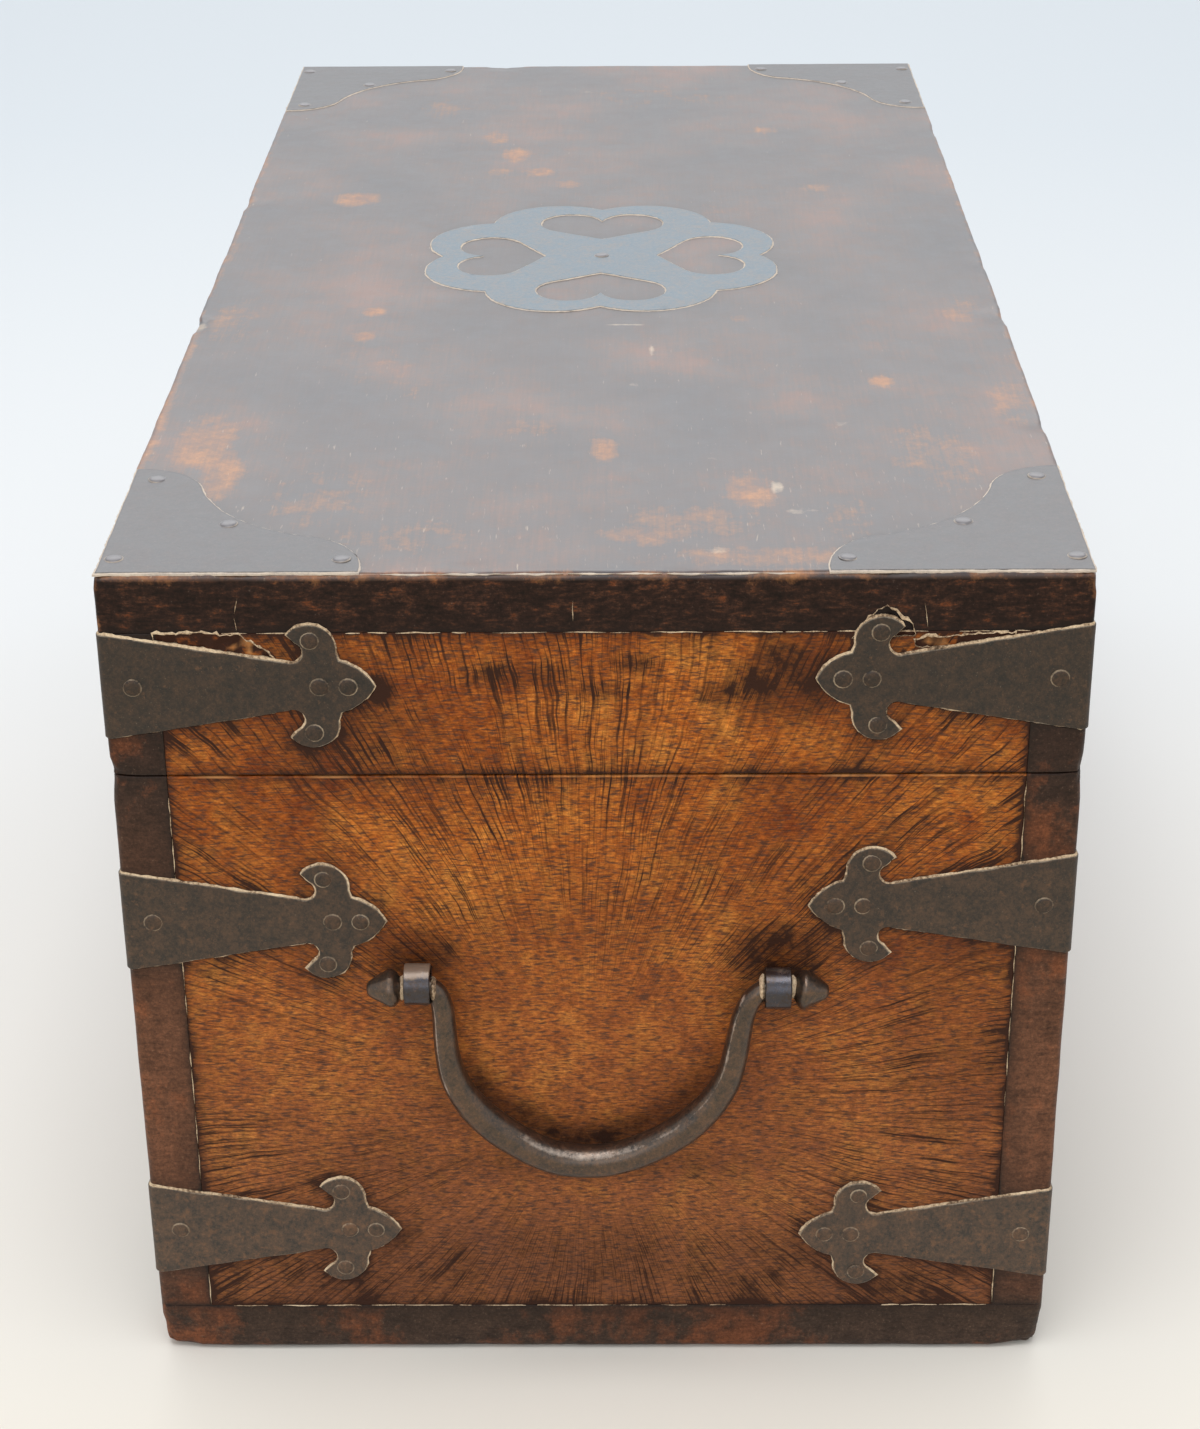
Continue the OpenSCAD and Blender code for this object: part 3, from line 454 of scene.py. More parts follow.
def newMaterial(name, patterns, painted=()):
    # patterns are noises: bumps to a millimetre along x, y and z, detail and roughness; painted names the values that
    # the piece's own points carry
    material = bpy.data.materials.new(name)
    material.use_nodes = True
    add = partial(addNode, material.node_tree)
    place = add("TexCoord").node.outputs["Object"]
    inMm = add("VectorMath", {0: place, "Scale": 1000.0}, operation="SCALE")
    noises = []
    for x, y, z, detail, roughness in patterns:
        spread = add("VectorMath", (inMm, (x, y, z)), operation="MULTIPLY")
        noises.append(add("TexNoise", {"Vector": spread, "Scale": 1.0, "Detail": detail, "Roughness": roughness}))
    return material, add, inMm, noises, [add("Attribute", attribute_name=n).node.outputs["Fac"] for n in painted]


def finished(material, add, colour, layers, height, strength, depth, values):
    # colour under layers, each as how much of it shows and its colour; a bump with its depth in metres; and the
    # shader's other values, plain or fed by a node
    for share, over in layers:
        colour = add("Mix", {0: share, 6: colour, 7: over}, data_type="RGBA")
    shader = material.node_tree.nodes["Principled BSDF"]
    values["Base Color"] = colour
    values["Normal"] = add("Bump", {"Strength": strength, "Distance": depth, "Height": height})
    for key, value in values.items():
        if isinstance(value, bpy.types.NodeSocket):
            material.node_tree.links.new(value, shader.inputs[key])
        else:
            shader.inputs[key].default_value = value
    return material


rawWood = ((0.35, "#8C6A48"), (0.7, "#6B4C33"))  # unstained wood inside, from fibre to pore
waxFan = {"centre": (0.0, 3.0, 81.0), "strokes": 150.0, "length": 26.0}  # strokes to a radian, and mm long


def endBoardFinish():
    # hardwood, planed and stained, then brushed with dark wax in a fan: brown with short dark pores and long
    # strokes; fibres and pores lie across the board, about 0.8 mm by 5 mm
    material, add, inMm, (broad, mottle, speck, pores, fibres, patches), (soot, rub, inner) = newMaterial(
        "stained hardwood, brushed with dark wax",
        ((0.026, 0.026, 0.026, 3.0, 0.5), (0.11, 0.11, 0.11, 5.0, 0.68), (0.8, 0.52, 1.04, 4.0, 0.8),
         (1.0, 0.3, 1.5, 3.0, 0.62), (1.0, 0.3, 2.4, 2.0, 0.5), (0.03, 0.03, 0.03, 2.0, 0.6)),
        ("soot", "rub", "inside"))
    z = add("SeparateXYZ", (inMm,)).node.outputs[2]
    # polar coordinates for the fan
    away = add("VectorMath", (inMm, waxFan["centre"]), operation="SUBTRACT")
    away = add("VectorMath", (away, (0.0, 1.0, 1.0)), operation="MULTIPLY")
    side = add("SeparateXYZ", (away,)).node.outputs
    radius = add("VectorMath", (away,), operation="LENGTH")
    turn = add("Math", (side[1], side[2]), operation="ARCTAN2")
    drift = add("Math", (broad, 0.07, turn), operation="MULTIPLY_ADD")
    across = add("Math", (drift, waxFan["strokes"]), operation="MULTIPLY")
    along = add("Math", (radius, waxFan["length"]), operation="DIVIDE")
    onFan = add("CombineXYZ", (across, along, 0.0))
    strokes = add("TexNoise", {"Vector": onFan, "Scale": 1.0, "Detail": 3.0, "Roughness": 0.6})
    wide = add("VectorMath", (onFan, (0.3, 0.8, 1.0)), operation="MULTIPLY")
    swathes = add("TexNoise", {"Vector": wide, "Scale": 1.0, "Detail": 2.0})
    brushed = add("MapRange", (patches, 0.38, 0.58, 0.3, 1.0))
    outwards = add("MapRange", (radius, 26.0, 74.0, 0.14, 1.0))
    strokeDark = add("MapRange", (strokes, 0.5, 0.62, 0.0, 1.0))
    strokeDark = add("Math", (strokeDark, brushed), operation="MULTIPLY")
    strokeDark = add("Math", (strokeDark, outwards), operation="MULTIPLY")
    poreDark = add("MapRange", (pores, 0.49, 0.64, 0.0, 0.82))
    waxed = add("MapRange", (mottle, 0.46, 0.72, 0.0, 0.6))
    # brown wood, greyer towards the floor: partly dirt, partly a painted reflection of the floor
    tone = add("Math", (fibres, 0.5, mottle), operation="MULTIPLY_ADD")
    tone = add("Math", (broad, 0.5, tone), operation="MULTIPLY_ADD")
    wood = add("ValToRGB", (add("MapRange", (tone, 0.74, 1.26)),), stops=(
        (0.0, "#6E300C"), (1.0, "#E0903C"), (0.4, "#9C5218"), (0.65, "#BC6C26")))
    low = add("MapRange", (z, 165.0, 30.0, 0.0, 0.52))
    wood = add("Mix", {0: low, 6: wood, 7: "#7C573F"}, data_type="RGBA")
    lit = add("MapRange", (speck, 0.32, 0.68, 0.5, 1.64))
    wood = add("VectorMath", {0: wood, "Scale": lit}, operation="SCALE")
    # dark wax in swathes, grime round the iron, and single strokes; the grime values also carry painted shade inside
    # and below the bail
    streak = add("Math", (add("MapRange", (swathes, 0.5, 0.75, 0.0, 0.5)), outwards), operation="MULTIPLY")
    dark = add("Math", (waxed, streak), operation="ADD")
    ragged = add("Math", (mottle, soot), operation="MULTIPLY")
    ragged = add("Math", (ragged, 1.9), operation="MULTIPLY")
    dark = add("Math", (dark, 0.62, ragged), operation="MULTIPLY_ADD")
    dark = add("Math", (strokeDark, 0.7, dark), operation="MULTIPLY_ADD", use_clamp=True)
    layers = ((poreDark, "#46322A"), (dark, "#331A0E"), (add("MapRange", (rub, 0.15, 0.9, 0.0, 0.85)), "#B5804E"),
              (inner, add("ValToRGB", (pores,), stops=rawWood)))
    height = add("Math", (strokeDark, -0.6, fibres), operation="MULTIPLY_ADD")
    height = add("Math", (poreDark, -0.8, height), operation="MULTIPLY_ADD")
    return finished(material, add, wood, layers, height, 0.5, 0.00018, {
        "Roughness": add("MapRange", (dark, 0.0, 1.0, 0.42, 0.62)), "Specular IOR Level": 0.18})


def speckled(add, fleck, colour, dim, bright, dustFrom, dustTo, dustColour):
    # fine light and dark specks, and pale crumbs of dust on the lightest
    lit = add("MapRange", (fleck, 0.32, 0.68, dim, bright))
    colour = add("VectorMath", {0: colour, "Scale": lit}, operation="SCALE")
    crumb = add("MapRange", (fleck, dustFrom, dustTo, 0.0, 0.4))
    return add("Mix", {0: crumb, 6: colour, 7: dustColour}, data_type="RGBA")


def borderFinish():
    # the same hardwood stained nearly black, then worn: dark streaks along each board, red-brown showing through
    material, add, inMm, (streaks, mottle, broad, fleck), (soot, rub, inner) = newMaterial(
        "ebonised hardwood, worn and dusty",
        ((0.05, 0.3, 0.95, 4.0, 0.65), (0.16, 0.16, 0.16, 5.0, 0.7), (0.035, 0.035, 0.035, 3.0, 0.5),
         (1.1, 1.1, 1.1, 4.0, 0.8)), ("soot", "rub", "inside"))
    z = add("SeparateXYZ", (inMm,)).node.outputs[2]
    # darkest at the lid, reddest at half height, greyer at the floor
    colour = add("ValToRGB", (add("Math", (z, 240.0), operation="DIVIDE"),), stops=(
        (0.0, "#43332A"), (1.0, "#2C1812"), (0.055, "#403025"), (0.085, "#5A3A29"), (0.35, "#6C4631"),
        (0.58, "#573929"), (0.72, "#3A281F"), (0.9, "#2A1812")))
    red = add("Math", (mottle, 0.6, broad), operation="MULTIPLY_ADD")
    red = add("MapRange", (red, 0.8, 0.95, 0.0, 0.65))
    colour = add("Mix", {0: red, 6: colour, 7: "#7A4426"}, data_type="RGBA")
    dim = add("Math", (streaks, 0.8, mottle), operation="MULTIPLY_ADD")
    dim = add("MapRange", (dim, 0.62, 1.2, 0.4, 1.5))
    colour = add("VectorMath", {0: colour, "Scale": dim}, operation="SCALE")
    ragged = add("Math", (mottle, soot), operation="MULTIPLY")
    ragged = add("Math", (ragged, 1.7), operation="MULTIPLY", use_clamp=True)
    colour = add("Mix", {0: ragged, 6: colour, 7: "#241A15"}, data_type="RGBA")
    colour = speckled(add, fleck, colour, 0.6, 1.4, 0.62, 0.72, "#8C7A66")
    bare = add("MapRange", (add("Math", (rub, mottle), operation="MULTIPLY"), 0.2, 0.6, 0.0, 0.8))
    layers = ((bare, "#9A6A42"), (inner, add("ValToRGB", (streaks,), stops=rawWood)))
    height = add("Math", (streaks, 1.0, mottle), operation="MULTIPLY_ADD")
    return finished(material, add, colour, layers, height, 0.6, 0.0003, {
        "Roughness": add("MapRange", (mottle, 0.3, 0.7, 0.42, 0.6)), "Specular IOR Level": 0.2})


def topFinish():
    # dark stained hardwood under old lacquer rubbed by hands: a smooth cool sheen, orange where it is worn off
    material, add, inMm, (lines, bandLines, mottle, broad, speck, fleck), (soot, rub, pale, inner) = newMaterial(
        "dark lacquered hardwood, rubbed through",
        ((0.05, 0.9, 1.0, 4.0, 0.65), (0.05, 0.3, 1.0, 4.0, 0.65), (0.14, 0.14, 0.14, 6.0, 0.7),
         (0.022, 0.022, 0.022, 3.0, 0.5), (1.1, 1.1, 1.1, 4.0, 0.8), (0.16, 1.1, 1.0, 2.0, 0.5)),
        ("soot", "rub", "pale", "inside"))
    part = add("SeparateXYZ", (inMm,)).node.outputs
    onTopFace = add("MapRange", (part[2], 230.0, 230.9))
    tone = add("Math", (mottle, 0.7, broad), operation="MULTIPLY_ADD")
    tone = add("Math", (lines, 0.35, tone), operation="MULTIPLY_ADD")
    lacquer = add("ValToRGB", (add("MapRange", (tone, 0.78, 1.28)),), stops=(
        (0.0, "#2E2427"), (1.0, "#6E4430"), (0.45, "#41302C"), (0.7, "#55392D")))
    # the board's edge is darker and streaked
    band = add("Math", (bandLines, 1.2, mottle), operation="MULTIPLY_ADD")
    band = add("ValToRGB", (add("MapRange", (band, 0.85, 1.4)),), stops=(
        (0.0, "#180E0B"), (1.0, "#6A3A20"), (0.5, "#2C1B15"), (0.75, "#432A1E")))
    band = speckled(add, speck, band, 0.5, 1.5, 0.64, 0.73, "#8C8072")
    ragged = add("Math", (mottle, soot), operation="MULTIPLY")
    ragged = add("Math", (ragged, 1.6), operation="MULTIPLY", use_clamp=True)
    # worn through where it was painted, with a ragged rim and streaks along the grain
    wornOff = add("Math", (mottle, 1.1, rub), operation="MULTIPLY_ADD")
    wornOff = add("Math", (lines, 0.5, wornOff), operation="MULTIPLY_ADD")
    wornOff = add("MapRange", (wornOff, 1.06, 1.6, 0.0, 0.85))
    bareTone = add("ValToRGB", (mottle,), stops=((0.35, "#85502E"), (0.65, "#B57C4C")))
    # pale flecks, more of them towards the near end, and pale scratches; along the upper arris the pale values are
    # partly a painted highlight
    fleck = add("Math", (fleck, add("MapRange", (part[0], -60.0, -235.0, 0.0, 0.06))), operation="ADD")
    fleck = add("Math", (add("MapRange", (fleck, 0.72, 0.82, 0.0, 0.4)), onTopFace), operation="MULTIPLY")
    scratch = add("Math", (mottle, 0.8, pale), operation="MULTIPLY_ADD")
    fleck = add("Math", (fleck, add("MapRange", (scratch, 0.75, 1.1))), operation="MAXIMUM")
    layers = ((onTopFace, lacquer), (ragged, "#1E1614"), (wornOff, bareTone), (fleck, "#C4AE92"),
              (inner, add("ValToRGB", (lines,), stops=rawWood)))
    glossy = add("Math", (add("MapRange", (wornOff, 0.0, 1.0, 1.0, 0.7)), onTopFace), operation="MULTIPLY")
    height = add("Math", (lines, 0.6, mottle), operation="MULTIPLY_ADD")
    height = add("Math", (wornOff, -0.5, height), operation="MULTIPLY_ADD")
    return finished(material, add, band, layers, height, 0.35, 0.0003, {
        "Roughness": add("MapRange", (mottle, 0.3, 0.7, 0.4, 0.56)), "Specular IOR Level": 0.15,
        "Coat Weight": glossy, "Coat Roughness": 0.3})


# name of the finish, colours of metal, patina and rubbed edge, metallic, roughness, rust, sheen of wax
ironFinishes = {
    "strap": ("wrought iron, blackened and browned", "#35302B", "#4C3A2C", "#A39684", 0.25, 0.55, 0.4, 0.0),
    "plate": ("sheet iron, blackened and waxed", "#2E2A2D", "#3C3230", "#A89C8C", 0.0, 0.5, 0.12, 0.72),
    "rosette": ("sheet iron, blued by heat", "#2E5B72", "#5A5654", "#A8997F", 0.0, 0.5, 0.1, 0.75),
    # the bail's rubbed-edge colour is also the colour of its painted highlights
    "forged": ("forged iron bar, oiled by hands, with painted highlights", "#544E49", "#624E3F", "#C0B0A2", 0.8, 0.32, 0.3, 0.0),
    "rubbed": ("iron strip rubbed bright", "#55555C", "#40362F", "#8E7A68", 0.9, 0.3, 0.35, 0.0),
    "lock": ("filed iron, grey with age", "#6A6662", "#6A4E38", "#A09A92", 0.8, 0.45, 0.4, 0.0),
    "nail": ("wrought iron nail, browned", "#383029", "#513C2C", "#B5A288", 0.3, 0.55, 0.4, 0.72),
}


def ironFinish(kind):
    # hammered metal under a dull oxide: mottled dark skin, brown specks of rust, pale dusty or rubbed edges
    title, metal, patina, edgeColour, metallic, rough, rust, sheen = ironFinishes[kind]
    material, add, inMm, (mottle, fine, dents, crumbs, spots), (edge,) = newMaterial(title, (
        (0.2, 0.2, 0.2, 6.0, 0.78), (1.1, 1.1, 1.1, 3.0, 0.75), (0.16, 0.16, 0.16, 2.0, 0.5),
        (2.0, 2.0, 2.0, 3.0, 0.8), (0.34, 0.34, 0.34, 4.0, 0.75)), ("rim" if kind == "nail" else "edge",))
    z = add("SeparateXYZ", (inMm,)).node.outputs[2]
    onTopFace = add("MapRange", (z, 231.4, 231.9))
    tone = add("Math", (fine, 0.9, mottle), operation="MULTIPLY_ADD")
    colour = add("Mix", {0: add("MapRange", (tone, 0.75, 1.15)), 6: metal, 7: patina}, data_type="RGBA")
    dim = add("MapRange", (tone, 0.65, 1.25, 0.6, 1.4))
    if kind in ("strap", "nail"):
        # paler low down, where the chest stood damp
        dim = add("Math", (dim, add("MapRange", (z, 200.0, 40.0, 0.72, 1.45))), operation="MULTIPLY")
    colour = add("VectorMath", {0: colour, "Scale": dim}, operation="SCALE")
    # rust, more of it low down, then crumbs of dust
    spots = add("Math", (spots, add("MapRange", (z, 200.0, 30.0, 0.0, 0.09))), operation="ADD")
    rusty = add("MapRange", (spots, 0.62, 0.72, 0.0, rust))
    crumb = add("MapRange", (crumbs, 0.64, 0.74, 0.0, 0.5))
    layers = [(rusty, "#7C5638"), (crumb, "#A39684")]
    # nails on the lid's top are painted a paler grey: a painted sheen, like the reflection on the lacquered top round
    # them
    if kind == "nail":
        layers.append((onTopFace, "#6E6A6C"))
    # pale rubbed edges; on the bail the edge values also place a painted highlight
    rubbed = add("Math", (dents, 1.1, edge), operation="MULTIPLY_ADD")
    rubbed = add("Math", (fine, 0.7, rubbed), operation="MULTIPLY_ADD")
    rubbed = add("MapRange", (rubbed, 1.7, 2.15, 0.0, 0.7))
    dusty = add("Math", (rusty, rubbed), operation="ADD", use_clamp=True)
    layers.append((rubbed, edgeColour))
    values = {"Metallic": add("MapRange", {0: dusty, 3: metallic, 4: 0.0}),
              "Roughness": add("Math", (mottle, 0.3, rough - 0.15), operation="MULTIPLY_ADD")}
    if sheen:
        waxed = add("MapRange", {0: dusty, 3: sheen, 4: sheen * 0.4})
        values["Coat Weight"] = add("Math", (waxed, onTopFace), operation="MULTIPLY")
        values["Coat Roughness"] = 0.3
    height = add("Math", (fine, 0.15, dents), operation="MULTIPLY_ADD")
    height = add("Math", (dusty, 0.12, height), operation="MULTIPLY_ADD")
    return finished(material, add, colour, layers, height, 0.5, 0.0005, values)


def dustFinish():
    # dry dust, old wax and wood fibres packed in a gap: matt tan, darker where its bump is low, and whiter on the
    # lid's top as a painted highlight
    material, add, inMm, (broad, crumbs) = newMaterial("dust and wax packed in a gap", (
        (0.09, 0.09, 0.09, 3.0, 0.5), (1.3, 1.3, 1.3, 3.0, 0.7)))[:4]
    z = add("SeparateXYZ", (inMm,)).node.outputs[2]
    tone = add("Math", (crumbs, 0.9, broad), operation="MULTIPLY_ADD")
    colour = add("ValToRGB", (add("MapRange", (tone, 0.65, 1.2)),), stops=(
        (0.0, "#3A2C22"), (1.0, "#E2CCAC"), (0.3, "#86705A"), (0.55, "#BFA78A")))
    # whiter on the lid's top: a painted highlight, partly pale dust
    layers = ((add("MapRange", (z, 229.5, 230.5, 0.0, 0.7)), "#D2C8BE"),)
    return finished(material, add, colour, layers, crumbs, 0.7, 0.0003, {
        "Roughness": 0.9, "Specular IOR Level": 0.2})


finishes = {"end_wood": endBoardFinish(), "border_wood": borderFinish(), "top_wood": topFinish()}
for kind in ironFinishes:
    finishes[kind + "_iron"] = ironFinish(kind)
dustWithTopHighlight = dustFinish()
print("materials made")


topPlate = {
    "inset": 0.8,
    "reach": (68.0, 63.6),  # along the length and across the width
    "turns": ((0.82, 0.3), (0.32, 0.83)),
    "hollow": 3.6,
    "belly": 7.0,
    "proud": 0.3,
    "thick": 1.0,
    "nails": ((9, 4), (30.6, 29), (8.5, 59), (60.5, 7)),
}

rosette = {
    "radius": 57.5,
    "heartPoint": 17.5,
    "heartCentre": 35.0,
    "heartLobe": 10.2,
    "heartOverlap": 0.3,
    "keyplateRadius": 20.0,
    "keyhole": (2.5, 1.1, 8.5),  # radius of the round part, half width and length of the slot
}


def plateOutline():
    a, b = topPlate["reach"]
    (ax, ay), (bx, by) = topPlate["turns"]
    turnA, turnB = (ax * a, ay * b), (bx * a, by * b)
    inset = topPlate["inset"]
    return (straight((inset, inset), (a, inset), 4) + bow((a, inset), turnA, -topPlate["hollow"], 9)[:-1]
            + bow(turnA, turnB, topPlate["belly"], 14)[:-1] + bow(turnB, (inset, b), -topPlate["hollow"], 9)[:-1]
            + straight((inset, b), (inset, inset), 4))


def lobedOutline(radius, steps):
    cusps = [(0.87 * radius * math.cos(math.radians(45 * i)), 0.87 * radius * math.sin(math.radians(45 * i)))
             for i in range(9)]
    outline = []
    for a, b in zip(cusps, cusps[1:]):
        outline += bow(a, b, -0.197 * radius, steps)[:-1]
    return outline


def heartOutline(turn):
    point, centre, lobe = rosette["heartPoint"], rosette["heartCentre"], rosette["heartLobe"]
    side = lobe - rosette["heartOverlap"]
    reach = math.hypot(centre - point, side)
    start = 180 + math.degrees(math.atan2(side, centre - point)) - math.degrees(math.acos(lobe / reach))
    half = arc(centre, side, lobe, start, -math.degrees(math.asin(side / lobe)), 14)
    outline = straight((point, 0), (half[0][0], -half[0][1]), 3) + [(x, -y) for x, y in half[:-1]] + half[:0:-1]
    outline += straight(half[0], (point, 0), 3)
    c, s = math.cos(math.radians(turn)), math.sin(math.radians(turn))
    return [(c * x - s * y, s * x + c * y) for x, y in outline]


def onLid(u, v, h):
    return Vector((u, v, chest["height"] + h))


def keyholeOutline():
    r, half, length = rosette["keyhole"]
    low = math.degrees(math.asin(half / r))
    return arc(0, 0, r, -90 + low, 270 - low, 16) + [(-half, -length), (half, -length)]


keyplateLow, keyplateHigh = boxOf("keyhole_plate")
keyholeZ = (keyplateLow.z + keyplateHigh.z) / 2


def onFront(u, v, h):
    return Vector((u, -chest["halfWidth"] - h, keyholeZ + v))


lidPlates = []  # node, place, outline, holes, slot
for xName, xSide in endNames:
    for yName, ySide in sideNames:
        outline = handCut(plateOutline(), 0.2, len(lidPlates) * 5.1)
        lidPlates.append((f"top_plate_{xName}_{yName}", onTop(xSide, ySide), outline, [], "plate_iron"))
hearts = [handCut(heartOutline(turn), 0.15, turn) for turn in (0, 90, 180, 270)]
outline = handCut(lobedOutline(rosette["radius"], 12), 0.2, 2.2)
lidPlates.append(("top_rosette", onLid, outline, hearts, "rosette_iron"))
keyplate = lobedOutline(rosette["keyplateRadius"], 8)

bail = {
    # its middle line as seen from the end: across, height, thickness
    "line": (
        (46.2, 120.95, 5.0), (44.0, 120.9, 5.0), (42.0, 120.5, 5.1), (40.7, 119.3, 5.3), (40.0, 117.4, 5.5),
        (39.5, 114.0, 5.9), (39.25, 110.5, 6.2), (39.1, 106.5, 6.4), (38.8, 102.0, 6.6), (38.1, 97.5, 7.0),
        (36.9, 92.9, 7.4), (34.8, 88.3, 7.9), (31.8, 83.6, 8.4), (27.4, 78.8, 8.7), (21.8, 74.3, 8.8),
        (15.6, 70.4, 8.9), (9.6, 68.2, 9.0), (3.6, 67.5, 9.0), (-2.6, 68.0, 9.0), (-8.6, 69.7, 8.9),
        (-14.2, 72.3, 8.8), (-19.2, 75.5, 8.7), (-23.8, 79.2, 8.5), (-27.9, 83.6, 8.1), (-31.0, 88.2, 7.7),
        (-33.2, 92.8, 7.3), (-34.5, 97.3, 7.0), (-35.3, 101.9, 6.7), (-36.0, 106.4, 6.4), (-36.8, 110.9, 6.1),
        (-37.9, 114.6, 5.7), (-39.4, 117.5, 5.5), (-41.3, 119.4, 5.3), (-43.6, 120.1, 5.2), (-45.8, 120.2, 5.2),
    ),
    # finial as radius and distance from the eye
    "finial": ((2.6, -6.8), (2.6, -0.2), (2.5, 0.3), (3.0, 0.9), (4.3, 1.7), (5.2, 2.7), (5.25, 3.5), (4.6, 4.8),
               (3.4, 6.9), (2.2, 8.8), (1.4, 9.3)),
    "tip": (0.5, 9.45),
    "finialPlaces": ((1, 120.9, -3), (-1, 120.3, 6)),  # side, height, degrees of lean
    "dust": ((2.2, -0.2), (3.2, -0.1), (3.4, 0.3), (3.0, 0.8), (2.3, 1.1)),  # round the neck, in the same way
    "sides": 24,
}

eye = {"spacing": 91.2, "z": 122.0, "width": 6.5, "strip": 1.2, "loop": 4.7, "standoff": 7.0, "tail": 12.0,
       "board": 14.0, "pivotZ": 120.75,
       "drop": {1: 0.15, -1: 1.6}}  # how far the back and the front one have sagged
pivotX = chest["halfLength"] + eye["standoff"]


def gridLine(low, high, step):
    # places along one side of a board, close together near both ends
    near = [0, 0.15, 0.35, 0.7, 1.2, 2.0, 3.0, 4.5]
    if high - low < 20:
        near = near[:6] + [4.0]
    count = max(1, round((high - low - 2 * near[-1]) / step))
    middle = [low + near[-1] + (high - low - 2 * near[-1]) * i / count for i in range(1, count)]
    return [low + d for d in near] + middle + [high - d for d in reversed(near)]


def blockMesh(xs, ys, zs):
    # the skin of a box as a grid of quads
    lines = (xs, ys, zs)
    index, points, faces = {}, [], []

    def at(i, j, k):
        if (i, j, k) not in index:
            index[(i, j, k)] = len(points)
            points.append(Vector((xs[i], ys[j], zs[k])))
        return index[(i, j, k)]

    for axis in range(3):
        a, b = [k for k in range(3) if k != axis]
        for end in (0, len(lines[axis]) - 1):
            for i in range(len(lines[a]) - 1):
                for j in range(len(lines[b]) - 1):
                    corners = []
                    for di, dj in ((0, 0), (1, 0), (1, 1), (0, 1)):
                        key = [0, 0, 0]
                        key[axis], key[a], key[b] = end, i + di, j + dj
                        corners.append(at(*key))
                    faces.append(tuple(corners))
    return points, faces


wear = {
    "joint": 0.3,  # rounding where two boards meet
    "jointSpread": 0.22,
    "upright": 2.0,  # rounding of the upright corners
    "top": 1.4,
    "bottom": 3.2,
    "unevenness": 0.12,
    # chips as place, radius and depth
    "chips": (
        ((-62, 120, 232), 4.5, 1.1), ((-68, 119.5, 232), 4, 0.7),
        ((-60, -120, 232), 8, 0.5), ((-150, -120, 232), 8, 0.5), ((60, 120, 232), 9, 0.5),
        ((150, -120, 232), 9, 0.4), ((-10, -120, 232), 7, 0.3), ((200, 120, 232), 8, 0.5),
        ((-250, 86, 232), 6, 0.7), ((-250, 30, 232), 9, 0.6), ((-250, -24, 232), 7, 0.55),
        ((-250, -70, 232), 6, 0.5), ((-250, 119, 232), 4, 0.9), ((-250, -119, 231), 5, 0.8),
        ((250, 40, 232), 8, 0.7), ((250, -80, 232), 7, 0.8),
        ((-250, 120, 177), 6, 0.7), ((-250, -120, 177), 6, 0.6), ((-250, 120, 179), 4, 0.5),
        ((-250, -120, 179), 4, 0.4), ((250, 120, 177), 6, 0.6), ((250, -120, 178), 6, 0.6),
        ((-250, 118, 2), 9, 1.4), ((-250, -118, 2), 9, 1.6), ((250, 118, 2), 9, 1.4), ((250, -117, 2), 9, 1.4),
    ),
}


def worn(p, low, high):
    # the board's own arris
    r = wear["joint"] + wear["jointSpread"] * grain(p, 2.3) + 0.6 * max(0, grain(p, 6.0, 3) - 0.35)
    r = max(0.12, r)
    core = Vector([clamp(p[k], low[k] + r, high[k] - r) for k in range(3)])
    if (p - core).length > r:
        p = core + (p - core) * (r / (p - core).length)
    # the worn outside of the whole chest
    towardsTop = clamp((p.z - 205) / 20)
    towardsFloor = clamp((22 - p.z) / 18)
    rounding = (wear["upright"] + (wear["top"] - wear["upright"]) * towardsTop
                + (wear["bottom"] - wear["upright"]) * towardsFloor)
    rounding = max(0.5, rounding + 0.7 * grain(p, 16, 5) + 0.3 * grain(p, 4, 8))
    a, b, h = chest["halfLength"] - rounding, chest["halfWidth"] - rounding, chest["height"]
    core = Vector((clamp(p.x, -a, a), clamp(p.y, -b, b), clamp(p.z, rounding, h - rounding)))
    if (p - core).length > rounding:
        p = core + (p - core) * (rounding / (p - core).length)
    # chips and a slight unevenness of the outer faces
    far = 12
    a, b = chest["halfLength"] - far, chest["halfWidth"] - far
    core = Vector((clamp(p.x, -a, a), clamp(p.y, -b, b), clamp(p.z, far, h - far)))
    out = p - core
    depth = far - out.length if out.length > 0 else far
    if depth < 4 and out.length > 0:
        sunk = wear["unevenness"] * max(0, 0.5 + grain(p, 35, 11) + 0.4 * grain(p, 7, 12)) * (0 if p.z < 2 else 1)
        for place, radius, deep in wear["chips"]:
            away = (p - Vector(place)).length
            if away < radius * 1.3:
                edge = radius * (1 + 0.3 * grain(p, 2.5, 20))
                sunk += deep * max(0, 1 - away / edge) ** 0.7 * (1 + 0.5 * grain(p, 1.6, 21)) if away < edge else 0
        p = p - out.normalized() * sunk
    return p


def strapCutter(outline, place, seed):
    grown = outset(outline, [strap["gap"] + 0.16 * grain((p[0], p[1], 0), 1.6, seed) for p in outline])
    made = plateMesh(grown, (), 3.0, -chest["letIn"], 0.01, seed, pitch=200, columns=strap["columns"], wave=0)
    return [place(*p) for p in made[0]], made[1]


def prism(outline, place, bottom, top):
    points = [place(u, v, h) for h in (bottom, top) for u, v in outline]
    return points, ringFaces(2, len(outline))


def box(low, high):
    return prism([(low[0], low[1]), (high[0], low[1]), (high[0], high[1]), (low[0], high[1])],
                 lambda u, v, h: Vector((u, v, h)), low[2], high[2])


